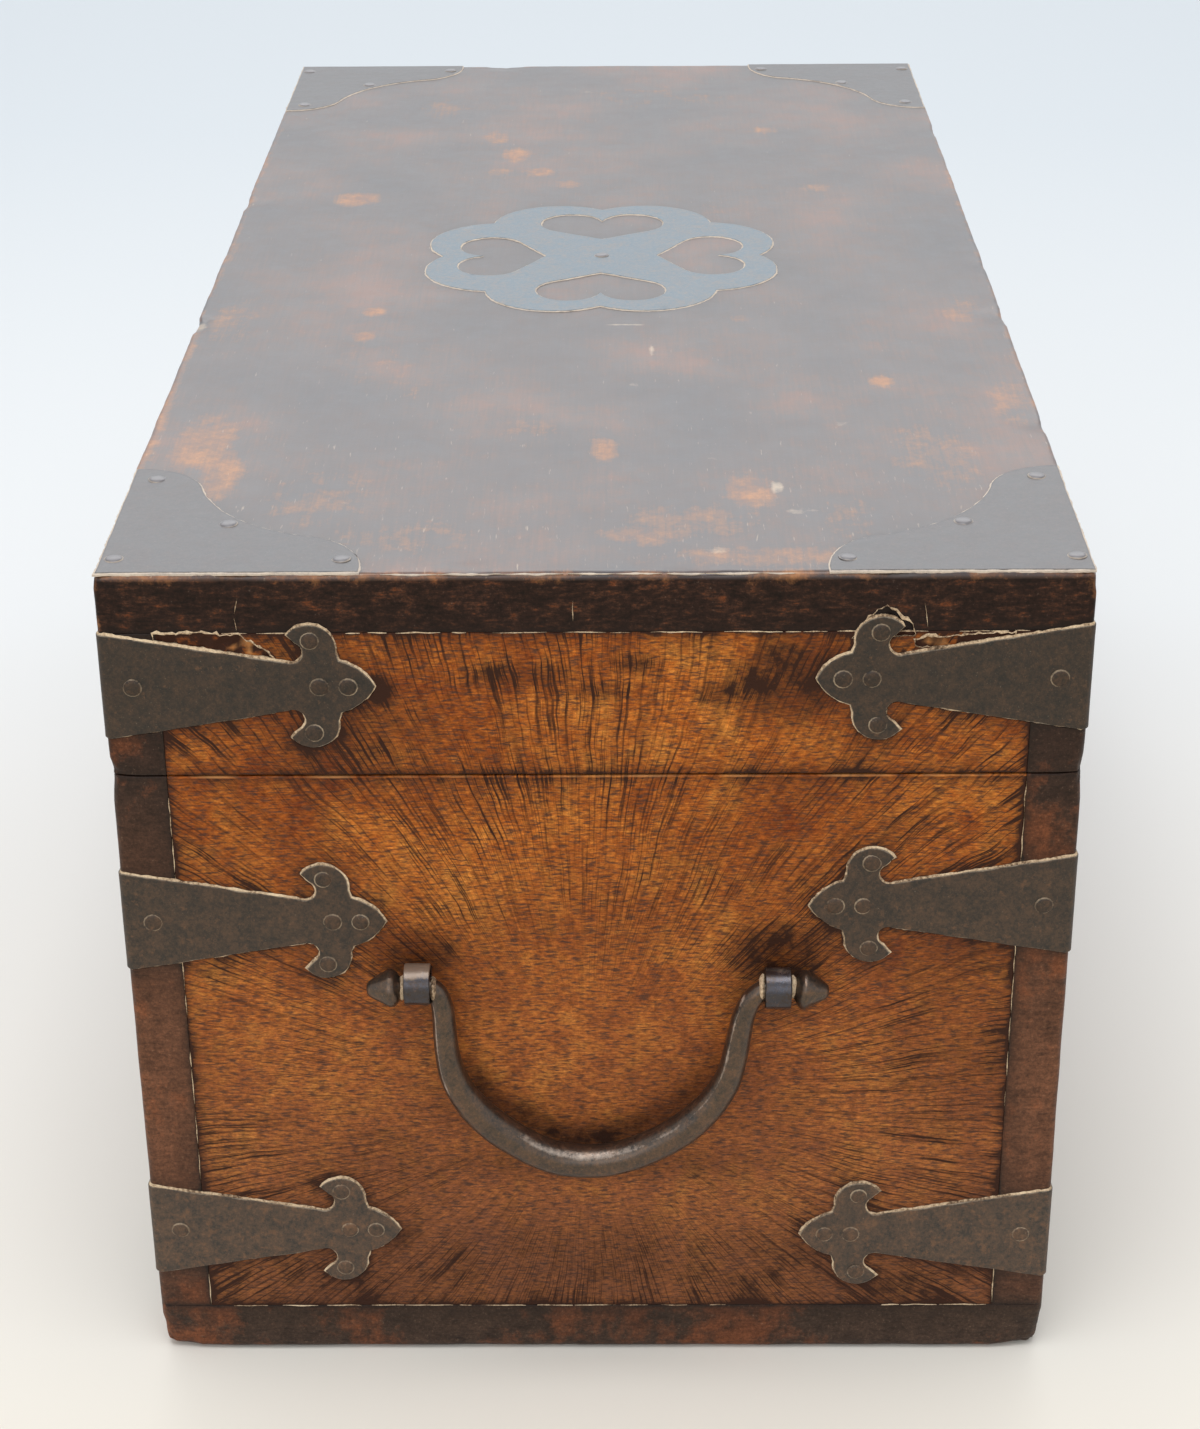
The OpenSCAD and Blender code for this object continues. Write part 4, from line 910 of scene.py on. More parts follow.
def cut(obj, cutters):
    # takes every cutter that meets the piece out of it
    low = [min(v.co[k] for v in obj.data.vertices) / mm for k in range(3)]
    high = [max(v.co[k] for v in obj.data.vertices) / mm for k in range(3)]
    meeting = [made for made in cutters
               if all(min(p[k] for p in made[0]) < high[k] and max(p[k] for p in made[0]) > low[k] for k in range(3))]
    if not meeting:
        return obj
    tool = meshObject("cutter", *joinMeshes(meeting))
    change = obj.modifiers.new("cut", "BOOLEAN")
    change.operation = "DIFFERENCE"
    change.solver = "EXACT"
    change.object = tool
    applyModifiers(obj)
    bpy.data.objects.remove(tool)
    return obj


# pockets for the straps, plates, rosette and lock
cutters = [strapCutter(outline, place, i) for i, (node, body, place, outline) in enumerate(straps)]
for i, (node, place, outline, holes, slotName) in enumerate(lidPlates):
    grown = outset(outline, [0.3 + 0.14 * grain((p[0], p[1], 0), 1.6, i) for p in outline])
    shrunk = [outset(h, [-0.3 + 0.1 * grain((p[0], p[1], 0), 1.6, i) for p in h]) for h in holes]
    made = plateMesh(grown, shrunk, 3.0, topPlate["proud"] - topPlate["thick"], 0.01, i, pitch=200, wave=0)
    cutters.append(([place(*p) for p in made[0]], made[1]))
cutters.append(prism(outset(keyplate, 0.3), onFront, -chest["letIn"], 3.0))
cutters.append(prism(keyholeOutline(), onFront, -16.0, 1.0))
gap = Vector((0.25, 0.25, 0.25))
for node in ("lock_case", "lid_hook_plate"):
    low, high = boxOf(node)
    cutters.append(box(low - gap, high + gap))


def onLeftEnd(u, v, h):
    return Vector((-chest["halfLength"] - h, u, v))


# wood broken away beside the straps of the left end: outline as across and height, and depth
breaks = (
    (((77, 208.6), (90, 211.0), (106, 213.6), (106.4, 216.3), (100, 216.7), (93, 216.6), (86, 215.9), (82.5, 213.8),
      (79, 211.4)), 1.15),
    (((-62.0, 214.8), (-77.6, 215.2), (-76.0, 218.2), (-72.8, 221.4), (-70, 223.4), (-67.4, 221.6),
      (-64.2, 218.0)), 1.1),
    (((-77, 212.6), (-80, 212.4), (-86, 212.6), (-94, 213.9), (-101, 215.0), (-101, 216.1), (-94, 215.9),
      (-88, 215.4), (-80, 214.9), (-77, 214.2)), 0.8),
)


def ragged(outline, seed):
    line = resample(outline, 0.9)
    area = sum(a[0] * b[1] - b[0] * a[1] for a, b in zip(line, line[1:] + line[:1]))
    line = line if area > 0 else line[::-1]
    rough = [0.7 * grain((p[0], p[1], 0), 1.3, seed) + 0.5 * grain((p[0], p[1], 4), 4.0, seed) for p in line]
    return outset(line, rough)


def pitMesh(line, depth):
    # a rough-floored cutter for the left end
    n = len(line)
    left, low = min(p[0] for p in line), min(p[1] for p in line)
    spots = [(left + 1.3 * i, low + 1.3 * j) for i in range(36) for j in range(10)]
    spots = [p for p in spots if inside(p, line) and min(math.dist(p, q) for q in line) > 0.6]
    edges = [(i, (i + 1) % n) for i in range(n)]
    made = delaunay_2d_cdt([Vector(p) for p in line + spots], edges, [], 1, 1e-6)
    floor = {old: new for new, olds in enumerate(made[3]) for old in olds}
    points = [onLeftEnd(p.x, p.y, -depth * (0.55 + 0.8 * grain((p.x, p.y, 0), 2.2, 9))) for p in made[0]]
    base = len(points)
    points += [onLeftEnd(u, v, 3.0) for u, v in line]
    faces = [tuple(face) for face in made[2]] + [tuple(base + i for i in range(n))[::-1]]
    faces += [(floor[a], base + a, base + b, floor[b]) for a, b in edges]
    return points, faces


breakLines = [ragged(outline, 70 + i) for i, (outline, depth) in enumerate(breaks)]
pits = [pitMesh(line, depth) for line, (outline, depth) in zip(breakLines, breaks)]
breakEdges = [outset(line, 0.15) for line in breakLines]

boards = (  # nodes, body, slot, pitch of the mesh
    (("bottom_board", "front_board", "back_board"), "body", "border_wood", 3.0),
    (("left_end_board", "right_end_board"), "body", "end_wood", 2.0),
    (("lid_top_board",), "lid", "top_wood", 2.0),
    (("lid_front_rail", "lid_back_rail"), "lid", "border_wood", 3.0),
    (("lid_left_end", "lid_right_end"), "lid", "end_wood", 2.0),
)

marks = {
    # where the lacquer is rubbed through: place, half length and half width, strength
    "rubbed": (
        (119, 31, 9, 5, 0.8), (97, 22, 6, 5, 0.7), (82, 12, 5, 4, 0.6), (142, 39, 9, 5, 0.55), (97, 36, 5, 4, 0.55),
        (65, 83, 8, 7, 0.8), (-54, 68, 4, 3.5, 0.8), (-77, 69, 4, 3.5, 0.85), (-117, -79, 4, 3.5, 0.85),
        (-169, -2, 9, 3.5, 0.7), (-164, -1, 4, 3, 0.6), (-198, -39, 12, 7, 0.6), (-227, -13, 7, 12, 0.55),
        (182, 60, 14, 8, 0.45), (-62, -42, 4, 4, 0.5), (151, -58, 5, 5, 0.45), (76, -72, 4, 5, 0.45),
        (-164, 104, 22, 9, 0.55), (-185, 97, 18, 6, 0.6), (-150, 119, 45, 2.5, 0.6), (-90, 119, 30, 2, 0.5),
        (-217, -24, 10, 16, 0.45), (-240, -45, 6, 30, 0.5), (-215, -60, 14, 12, 0.3), (-55, -108, 14, 6, 0.4),
        (-133, -113, 20, 6, 0.4), (-175, -88, 24, 12, 0.35), (-203, 70, 20, 14, 0.35), (-228, 45, 14, 20, 0.3),
        (-154, 18, 12, 8, 0.25), (-60, 110, 20, 8, 0.35), (10, 119, 60, 2, 0.4), (120, 119, 60, 2, 0.35),
        (200, -20, 20, 30, 0.25), (-110, 60, 30, 20, 0.18), (60, -40, 30, 16, 0.15),
    ),
    # pale scratches and spots, in the same way
    "pale": (
        (208, 7, 3, 3, 0.4), (-30, -32, 1.8, 1.4, 0.6), (-67, -7, 1.2, 6, 0.6), (-90, -15, 6, 1.2, 0.5),
        (-196, -46, 5, 2, 0.6), (-120, -10, 5, 1.4, 0.5), (-190, -14, 7, 1.2, 0.5), (-164, 30, 1.4, 12, 0.35),
        (-205, 60, 1.2, 8, 0.4), (-66, 119, 6, 3, 0.5), (-175, -30, 3, 2, 0.4),
        (-142, 62, 1.2, 14, 0.3), (-212, -52, 3, 5, 0.5), (-150, -66, 3, 3, 0.4), (-236, -30, 3, 5, 0.4),
    ),
    # dark stains on the end: across, height, half sizes, strength; the spot at (0, 62), below the grip, is partly
    # painted shade under the bail
    "stainsAndShade": (
        (52, 201, 3, 3, 1.0), (17, 205, 12, 3, 0.5), (-46, 203, 12, 9, 0.75), (-30, 200, 5, 3, 0.7),
        (-10, 208, 5, 2, 0.5), (0, 201, 9, 2, 0.4), (60, 190, 20, 8, 0.25), (0, 62, 34, 5, 0.35), (36, 82, 8, 9, 0.3),
        (45.6, 126, 9, 6, 0.6), (-45.6, 126, 11, 8, 0.75), (-45.6, 114, 12, 8, 0.35), (45.6, 114, 10, 8, 0.25),
        (-90, 100, 14, 30, 0.2), (0, 25, 100, 14, 0.3), (-20, 140, 50, 12, 0.12), (60, 60, 20, 14, 0.15),
    ),
}

ironPoints = [place(u, v, 0) for node, body, place, outline in straps for u, v in resample(outline, 1.5)]
for node, place, outline, holes, slotName in lidPlates:
    for line in [outline] + holes:
        ironPoints += [place(u, v, 0) for u, v in resample(line, 1.5)]
ironTree = searchTree(ironPoints)

# line along the inside of the bow, where the wood is darkened: partly grime, partly painted shade of the bail
bowMiddle = Vector((2, 104))
innerLine = [Vector(p[:2]) for p in bail["line"][3:-3]]
innerLine = [p + (bowMiddle - p).normalized() * 3.0 for p in innerLine]
innerTree = searchTree([p.lerp(q, k / 3).to_3d() for p, q in zip(innerLine, innerLine[1:]) for k in range(3)])


def blot(u, v, spots, size=1.0):
    # strongest of the soft spots at a place
    best = 0.0
    for a, b, ra, rb, strength in spots:
        d = ((u - a) / ra) ** 2 + ((v - b) / rb) ** 2
        if d < 4:
            best = max(best, strength * math.exp(-d * d * 0.6 / size))
    return best


def paintBoard(obj, low, high):
    onChest = Vector((chest["halfLength"], chest["halfWidth"]))

    def measures(p):
        # distance to the board's nearest arris, and to the chest's
        own = sorted(min(abs(p[k] - low[k]), abs(high[k] - p[k])) for k in range(3))[1]
        outer = sorted((onChest.x - abs(p.x), onChest.y - abs(p.y), min(p.z, chest["height"] - p.z)))[1]
        return own, max(0.0, outer)

    def broken(p):
        # bare wood inside a break
        onFace = 0.25 < onChest.x + p.x < 3 and 208 < p.z < 224
        return onFace and any(inside((p.y, p.z), line) for line in breakEdges)

    def clean(p):
        # clean wood near the straps' heads, black old hollows further out
        share = max(0, 1 - abs(abs(p.y) - 83) / 9) if p.z < 216.5 else 0
        return clamp(share + 0.9 * grain(p, 2.6, 44) - 0.45)

    def soot(p):
        own, outer = measures(p)
        if broken(p):
            return 1.4 * (1 - clean(p)) + 0.3 * grain(p, 2.0, 41)
        iron = ironTree.find(p)[2]
        value = 0.55 * math.exp(-iron / 2.2) + 0.14 * math.exp(-iron / 9)
        if own < outer - 0.6:
            value += 0.8 * math.exp(-own / 1.1) + 0.3 * math.exp(-own / 7) * (0.6 + grain(p, 14, 3))
        if abs(p.x) > onChest.x - 3 and abs(p.y) < 108:
            value += blot(p.y, p.z, marks["stainsAndShade"], 1.4)
            # darkening inside the bow of the bail: partly grime, partly painted shade of the bar
            if p.z < 100:
                near = innerTree.find(Vector((p.y, p.z, 0)))[2]
                value += 0.62 * min(1, (100 - p.z) / 18) * math.exp(-(near / 4.2) ** 2)
        if seamTop(p):
            value *= 0.2
        return value

    def seamTop(p):
        # the body's upper arris, which the lid has rubbed
        return high.z == chest["bodyTop"] and high.z - p.z < 0.6 and abs(p.y) < 107

    def rub(p):
        own, outer = measures(p)
        if broken(p):
            return clean(p)
        arris = 1.15 * math.exp(-outer / 1.7) if p.z > 226 else 0.75 * math.exp(-outer / 1.1)
        value = arris * (0.55 + 0.6 * grain(p, 9, 17) + 0.3 * grain(p, 2.5, 18))
        if seamTop(p):
            value = max(value, 0.25 + 0.95 * grain(p, 7, 19))
        if p.z > chest["height"] - 3:
            value = max(value, blot(p.x, p.y, marks["rubbed"]))
        return value

    def pale(p):
        own, outer = measures(p)
        if p.z < chest["height"] - 2.2:
            return 0.0
        # a pale line along the chest's upper arris: partly worn dust, partly a painted highlight on the rounded arris
        arris = math.exp(-outer / 0.7) * (0.55 + 0.4 * grain(p, 11, 23) + 0.3 * grain(p, 3, 24))
        return max(blot(p.x, p.y, marks["pale"]), arris)

    def bare(p):
        deep = abs(p.x) < onChest.x - 12 and abs(p.y) < onChest.y - 12 and 12 < p.z < chest["height"] - 10
        return 1.0 if deep else 0.0

    paint(obj, "soot", soot)
    paint(obj, "rub", rub)
    paint(obj, "inside", bare)
    if low.z > chest["bodyTop"] + 10:
        paint(obj, "pale", pale)


for nodes, body, slotName, step in boards:
    for node in nodes:
        low, high = boxOf(node)
        points, faces = blockMesh(*[gridLine(low[k], high[k], step) for k in range(3)])
        obj = meshObject(camelCase(node), [worn(p, low, high) for p in points], faces)
        cut(obj, cutters)
        cut(obj, pits)
        paintBoard(obj, low, high)
        settle(obj, body, slotName, [node])
        print(obj.name, len(obj.data.polygons), "faces")

for i, (node, body, place, outline) in enumerate(straps):
    made = plateMesh(outline, (), chest["proud"], 0.05 - chest["letIn"], strap["ease"], i, columns=strap["columns"])
    settle(plateObject(camelCase(node), made, place), body, "strap_iron", [node])
for i, (node, place, outline, holes, slotName) in enumerate(lidPlates):
    under = topPlate["proud"] - topPlate["thick"] + 0.05
    made = plateMesh(outline, holes, topPlate["proud"], under, 0.15, 40 + i)
    settle(plateObject(camelCase(node), made, place), "lid", slotName, [node])
made = plateMesh(handCut(keyplate, 0.1, 4), [keyholeOutline()], chest["proud"], -chest["letIn"], 0.2, 50, pitch=3)
settle(plateObject("keyholePlate", made, onFront), "body", "strap_iron", ["keyhole_plate"])
print("flat iron made")


rim = {"pitch": 0.9, "reach": 0.34, "spread": 0.3, "height": 0.12}


def rimMesh(outline, place, seed, proud, upper=0.0):
    # a thin ragged ring that fills the gap round an outline, wider by upper on its upper edges; that extra width is a
    # painted highlight where the iron's upper edge catches the light
    line = resample(outline, rim["pitch"])
    n = len(line)
    wide, tall = [], []
    for (u, v), (outU, outV) in zip(line, outset(line, 1.0)):
        rough = grain((u, v, 0), 1.3, seed) + 0.7 * grain((u, v, 5), 5.0, seed)
        wide.append(max(0.1, rim["reach"] + upper * (outV - v) + rim["spread"] * rough))
        tall.append(max(0.03, rim["height"] * (1 + 1.3 * grain((u, v, 9), 1.8, seed))))
    mid = [0.5 * w for w in wide]
    rows = [(outset(line, -0.3), [-0.5] * n), (outset(line, wide), [-0.5] * n), (outset(line, wide), [0.01] * n),
            (outset(line, mid), tall), (outset(line, -0.3), [min(proud - 0.06, t + 0.2) for t in tall])]
    points = [place(*p, h) for spots, heights in rows for p, h in zip(spots, heights)]
    return points, ringFaces(len(rows), n, "joined")


def splinters(line, seed):
    # torn fibres standing along the upper edge of a break
    points = []
    rows = ((-0.25, -0.8), (1.0, -0.8), (1.0, 0.01), (0.35, 0.16), (-0.25, 0.05))  # reach and height
    for share, height in rows:
        for (u, v), (outU, outV) in zip(line, outset(line, 1.0)):
            up = max(0.12, outV - v)
            tuft = 0.35 + 0.8 * grain((u, v, 0), 1.5, seed) + 0.5 * grain((u, v, 3), 5.0, seed)
            size = up * max(0.2, tuft) * share
            lift = height if height < 0 else height * up
            points.append(onLeftEnd(u + (outU - u) * size, v + (outV - v) * size, lift))
    return points, ringFaces(len(rows), len(line), "joined")


def dustLine(start, stop, out, share, seed, width=0.3):
    # short ragged ribbons of dust along a line, with gaps; share is how much of the line they fill
    start, stop, out = Vector(start), Vector(stop), Vector(out)
    along = (stop - start).normalized()
    across = along.cross(out)
    dice = random.Random(seed)
    made, at, length = [], dice.uniform(0, 4), (stop - start).length
    while at < length - 2:
        run = min(dice.uniform(2, 13) * (0.4 + share), length - at)
        count = max(3, int(run / 0.8))
        points = []
        for i in range(count + 1):
            spot = start + along * (at + run * i / count)
            swell = math.sin(math.pi * (i + 0.25) / (count + 0.5))
            half = width * swell * (0.55 + 0.5 * grain(spot, 1.5, seed))
            lift = 0.1 * (0.6 + grain(spot, 2.0, seed + 1))
            spot += across * 0.22 * grain(spot, 3.5, seed + 2)
            side, top = across * half, out * 0.01
            points += [spot - side - out * 0.4, spot + side - out * 0.4, spot + side * 0.8 + top,
                       spot + out * max(0.02, lift), spot - side * 0.8 + top]
        made.append((points, ringFaces(count + 1, 5)))
        at += run + dice.expovariate(1.0) * 9 * (1 - share) / share
    return made


def jointDust(z, share, seed):
    # dust in a level joint, on the ends and the long sides
    x, y = chest["halfLength"], chest["halfWidth"]
    lines = []
    for side in (-1, 1):
        lines += dustLine((side * x, 14.5 - y, z), (side * x, y - 14.5, z), (side, 0, 0), share, seed + side)
        lines += dustLine((4 - x, side * y, z), (x - 4, side * y, z), (0, side, 0), share * 0.6, seed + 3 * side)
    return lines


def bodyDust():
    made = [rimMesh(keyplate, onFront, 60, chest["proud"])] + jointDust(boxOf("bottom_board")[1].z, 0.6, 9)
    for xSide in (-1, 1):
        for ySide in (-1, 1):
            x, y = xSide * chest["halfLength"], ySide * (chest["halfWidth"] - 14)
            seed = 12 + xSide + 3 * ySide
            made += dustLine((x, y, 15), (x, y, chest["bodyTop"] - 1), (xSide, 0, 0), 0.65, seed, 0.26)
    return made


# old cracks in the top board's near end, from and to, as across and height
cracks = (((84.6, 229.5), (85.6, 226.0)), ((85.6, 226.0), (86.6, 221.0)), ((86.6, 221.0), (86.2, 217.4)),
          ((-77.4, 230.0), (-78.6, 226.0)), ((-78.6, 226.0), (-80.0, 217.6)), ((5.0, 227.0), (5.3, 219.5)))


def lidDust():
    made = []
    for i, (node, place, outline, holes, slotName) in enumerate(lidPlates):
        made.append(rimMesh(outline, place, 30 + i, topPlate["proud"]))
        made += [rimMesh(h[::-1], place, 35 + k, topPlate["proud"]) for k, h in enumerate(holes)]
    made += [splinters(line, 80 + i) for i, line in enumerate(breakLines)]
    made += jointDust(boxOf("lid_top_board")[0].z, 0.75, 5)
    for i, (start, stop) in enumerate(cracks):
        made += dustLine(onLeftEnd(*start, 0), onLeftEnd(*stop, 0), (-1, 0, 0), 0.95, 30 + i, 0.2)
    # pale dust ribbon along the near upper arris: partly dust, partly a painted highlight on the rounded arris
    x, y, z = chest["halfLength"] - 0.25, chest["halfWidth"] - 69, chest["height"] - 0.22
    return made + dustLine((-x, -y, z), (-x, y, z), (-0.7, 0, 0.7), 0.85, 77, 0.45)


for part, dust in (("body", bodyDust), ("lid", lidDust)):
    # the straps' dust rims are 0.22 wider on their upper edges, a painted highlight made of dust
    rings = [rimMesh(outline, place, i, chest["proud"], 0.22)
             for i, (node, body, place, outline) in enumerate(straps) if body == part]
    settle(meshObject(part + "RimDust", *joinMeshes(rings + dust())), part, "border_wood", [], dustWithTopHighlight)
print("dust made")


def curveThrough(points, steps):
    # Catmull-Rom line through the points
    spots = [Vector(p) for p in (points[0], *points, points[-1])]
    made = []
    for a, b, c, d in zip(spots, spots[1:], spots[2:], spots[3:]):
        for i in range(steps):
            t = i / steps
            bend = (2 * a - 5 * b + 4 * c - d) * t * t + (3 * b - a - 3 * c + d) * t ** 3
            made.append(0.5 * (2 * b + (c - a) * t + bend))
    return made + [spots[-1]]


def octagon(turn):
    # how far an eight-sided bar reaches at an angle, against its corners
    return math.cos(math.pi / 8) / math.cos(turn % (math.pi / 4) - math.pi / 8)


def lathe(rows, sides, facets, seed, rough):
    # closed lumpy turned shape about Z from rows of radius and height; facets is how flat its sides are
    points = []
    for r, h in rows:
        for k in range(sides):
            turn = 2 * math.pi * k / sides
            size = r * (1 + facets * (octagon(turn + 0.2) - 1))
            spot = Vector((size * math.cos(turn), size * math.sin(turn), h))
            out = Vector((spot.x, spot.y, 0)).normalized()
            points.append(spot + out * rough * (grain(spot, 2.2, seed) - 0.4))
    return points, ringFaces(len(rows), sides)


def onBar(made, xSide, y, z, turn):
    # a turned shape laid along a bail's pivots; turn in degrees
    rotation = Matrix.Rotation(math.radians(turn), 3, "X")
    spots = [rotation @ p for p in made[0]]
    return [Vector((xSide * (pivotX + p.x), y + p.y, z + p.z)) for p in spots], made[1]


barLine = curveThrough(bail["line"], 5)
barTree = searchTree([(p.x, p.y, 0) for p in barLine])


def bailMesh(xSide):
    sides, points, last = bail["sides"], [], len(barLine) - 1
    for i, p in enumerate(barLine):
        along = (barLine[min(i + 1, last)] - barLine[max(i - 1, 0)]).xy.normalized()
        across = Vector((-along.y, along.x))  # towards the outside of the bow
        grip = clamp((100 - p.y) / 22)  # 0 on the legs, 1 on the grip
        for k in range(sides):
            turn = 2 * math.pi * k / sides
            r = p.z / 2 * (1 + (0.95 - 0.55 * grip) * (octagon(turn + math.pi / 8) - 1) * 0.8)
            r *= 1 + 0.035 * grain((p.x, p.y, 3 * turn), 5.0, 7) + 0.012 * grain((p.x, p.y, 8 * turn), 1.6, 8)
            r = min(r, p.z / 2)
            out, side = r * math.cos(turn), r * math.sin(turn)
            points.append(Vector((xSide * (pivotX + out), p.x + side * across.x, p.y + side * across.y)))
    parts = [(points, ringFaces(len(barLine), sides))]
    rows = []
    for (r0, h0), (r1, h1) in zip(bail["finial"], bail["finial"][1:]):
        rows += [(r0, h0), (r0 + (r1 - r0) * 0.5, h0 + (h1 - h0) * 0.5)]
    rows += [bail["finial"][-1], bail["tip"]]
    for ySide, z, lean in bail["finialPlaces"]:
        y = ySide * (eye["spacing"] / 2 + eye["width"] / 2 + 0.3)
        parts.append(onBar(lathe(rows, sides, 0.9, 31 + ySide, 0.22), xSide, y, z, lean - 90 * ySide))
    return joinMeshes(parts)


def facet(p):
    # how much hands and the board have rubbed this place of a bail, and a painted highlight: on the grip where the
    # bar faces up and out, and along the legs' corners
    middle, i = barTree.find((p.y, p.z, 0))[:2]
    if abs(p.x) < pivotX:
        return 0.0
    inwards = (bowMiddle - middle.xy).normalized()
    share = Vector((p.y - middle.x, p.z - middle.y)).dot(inwards) / (barLine[i].z / 2)
    grip = clamp((90 - p.z) / 16)
    corner = math.exp(-(((share if p.y < 0 else -share) - 0.62) / 0.14) ** 2)
    # the grip's band is a painted highlight; the legs' corners are partly rubbed, partly painted highlight
    return 1.15 * corner * (1 - grip) + 1.05 * grip * math.exp(-((share - 0.72) / 0.26) ** 2)


def neckDust(xSide):
    # dust packed between each eye and the bail's finial and elbow, round the pivot so that it clears the eye
    parts = []
    for ySide in (1, -1):
        for way in (1, -1):
            y = ySide * (eye["spacing"] / 2 + way * (eye["width"] / 2 + 0.35))
            shape = lathe(bail["dust"], 16, 0.0, 61 + way, 0.7)
            parts.append(onBar(shape, xSide, y, eye["pivotZ"], -90 * ySide * way))
    return joinMeshes(parts)


def eyeMesh(xSide, ySide):
    # strip bent to a loop, its two ends through the board and clinched inside
    inner = -eye["board"] - 0.6
    leg = [(inner, eye["tail"]), (inner, 6), (inner, 2.2), (inner + 0.35, 1.1), (inner + 1.2, 0.66)]
    leg += [(x, 0.66) for x in (-10, -5, -1, 0.8)]
    start = 180 - math.degrees(math.asin(0.8 / eye["loop"]))
    loop = arc(eye["standoff"], 0, eye["loop"], start, -start, 30)
    line = leg + [(1.9, 0.7)] + loop + [(1.9, -0.7)] + [(x, -z) for x, z in reversed(leg)]
    half, t, w = eye["width"] / 2, eye["strip"] / 2, 0.18
    section = [(-half + w, -t), (half - w, -t), (half, -t + w), (half, t - w), (half - w, t), (-half + w, t),
               (-half, t - w), (-half, -t + w)]
    points, last = [], len(line) - 1
    for i, (x, z) in enumerate(line):
        along = (Vector(line[min(i + 1, last)]) - Vector(line[max(i - 1, 0)])).normalized()
        across = Vector((-along.y, along.x))
        for s, h in section:
            bend = -0.06 + 0.06 * grain((x, z, s), 3.0, ySide)
            spot = Vector((x, z)) + across * (h + bend)
            points.append(Vector((xSide * (chest["halfLength"] + spot.x), ySide * eye["spacing"] / 2 + s,
                                  eye["z"] - eye["drop"][ySide] + spot.y)))
    return points, ringFaces(len(line), len(section))


for xName, xSide in endNames:
    bar = meshObject(xName + "Bail", *bailMesh(xSide))
    # rubbed places of the bail, and its painted highlights
    paint(bar, "edge", facet)
    settle(bar, xName + "_bail", "forged_iron", [xName + "_bail"])
    settle(meshObject(xName + "BailDust", *neckDust(xSide)), xName + "_bail", "forged_iron", [], dustWithTopHighlight)
    for yName, ySide in sideNames:
        node = f"{xName}_bail_eye_{yName}"
        strip = meshObject(camelCase(node), *eyeMesh(xSide, ySide))
        paint(strip, "edge", lambda p: 1.3 * clamp((p.z - eye["z"] - 2.4) / 1.6))
        settle(strip, "body", "rubbed_iron", [node])
print("bails made")


def softened(node, body, slotName, bevel):
    obj = newObject(camelCase(node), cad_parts[node].data.copy())
    work = bmesh.new()
    work.from_mesh(obj.data)
    bmesh.ops.remove_doubles(work, verts=work.verts, dist=1e-6)
    bmesh.ops.dissolve_limit(work, angle_limit=math.radians(1), verts=work.verts, edges=work.edges)
    work.to_mesh(obj.data)
    work.free()
    change = obj.modifiers.new("soft edges", "BEVEL")
    change.width = bevel * mm
    change.segments = 2
    change.limit_method = "ANGLE"
    change.angle_limit = math.radians(40)
    settle(applyModifiers(obj), body, slotName, [node], angle=50)


for side in ("left", "right"):
    softened(side + "_hinge_lid_leaf", "lid", "strap_iron", 0.18)
    softened(side + "_hinge_body_leaf", "body", "strap_iron", 0.18)
    softened(side + "_hinge_pin", "body", "rubbed_iron", 0.15)
softened("lock_case", "body", "lock_iron", 0.2)
softened("lock_bolt", "lock_bolt", "rubbed_iron", 0.25)
softened("lid_hook_plate", "lid", "lock_iron", 0.2)
print("hinges and lock made")


nail = {
    # heads from the shank up, as radius, height and how much of it is pale rim
    "domed": ((0.9, -0.1, 0), (2.2, -0.1, 1), (2.5, -0.1, 1), (2.45, 0.06, 1), (2.18, 0.1, 1), (2.12, 0.2, 0.8),
              (1.9, 0.33, 0.1), (1.3, 0.43, 0), (0.6, 0.46, 0)),
    "sunk": ((0.9, -1.6, 0), (2.3, -0.12, 0), (2.2, -0.03, 0.5), (1.2, 0.0, 0)),
    "shank": 0.9,  # radius
    "point": (0.35, 2.0),  # radius and length
    "sides": 14,
    "length": 9.0,
    "sizeSpread": 0.06,
    "tilt": 3.0,  # degrees
    "seed": 12,
}


def nailShape(style, length):
    tip, taper = nail["point"]
    rows = ((tip, -length, 0), (nail["shank"], -length + taper, 0)) + nail[style]
    points, pale = [], []
    for r, h, value in rows:
        points += [(x, y, h) for x, y in arc(0, 0, r, 0, 360, nail["sides"])[:-1]]
        pale += [value] * nail["sides"]
    obj = meshObject("nail", points, ringFaces(len(rows), nail["sides"]), merge=False)
    setValues(obj, "rim", pale)
    obj.data.shade_smooth()
    return obj


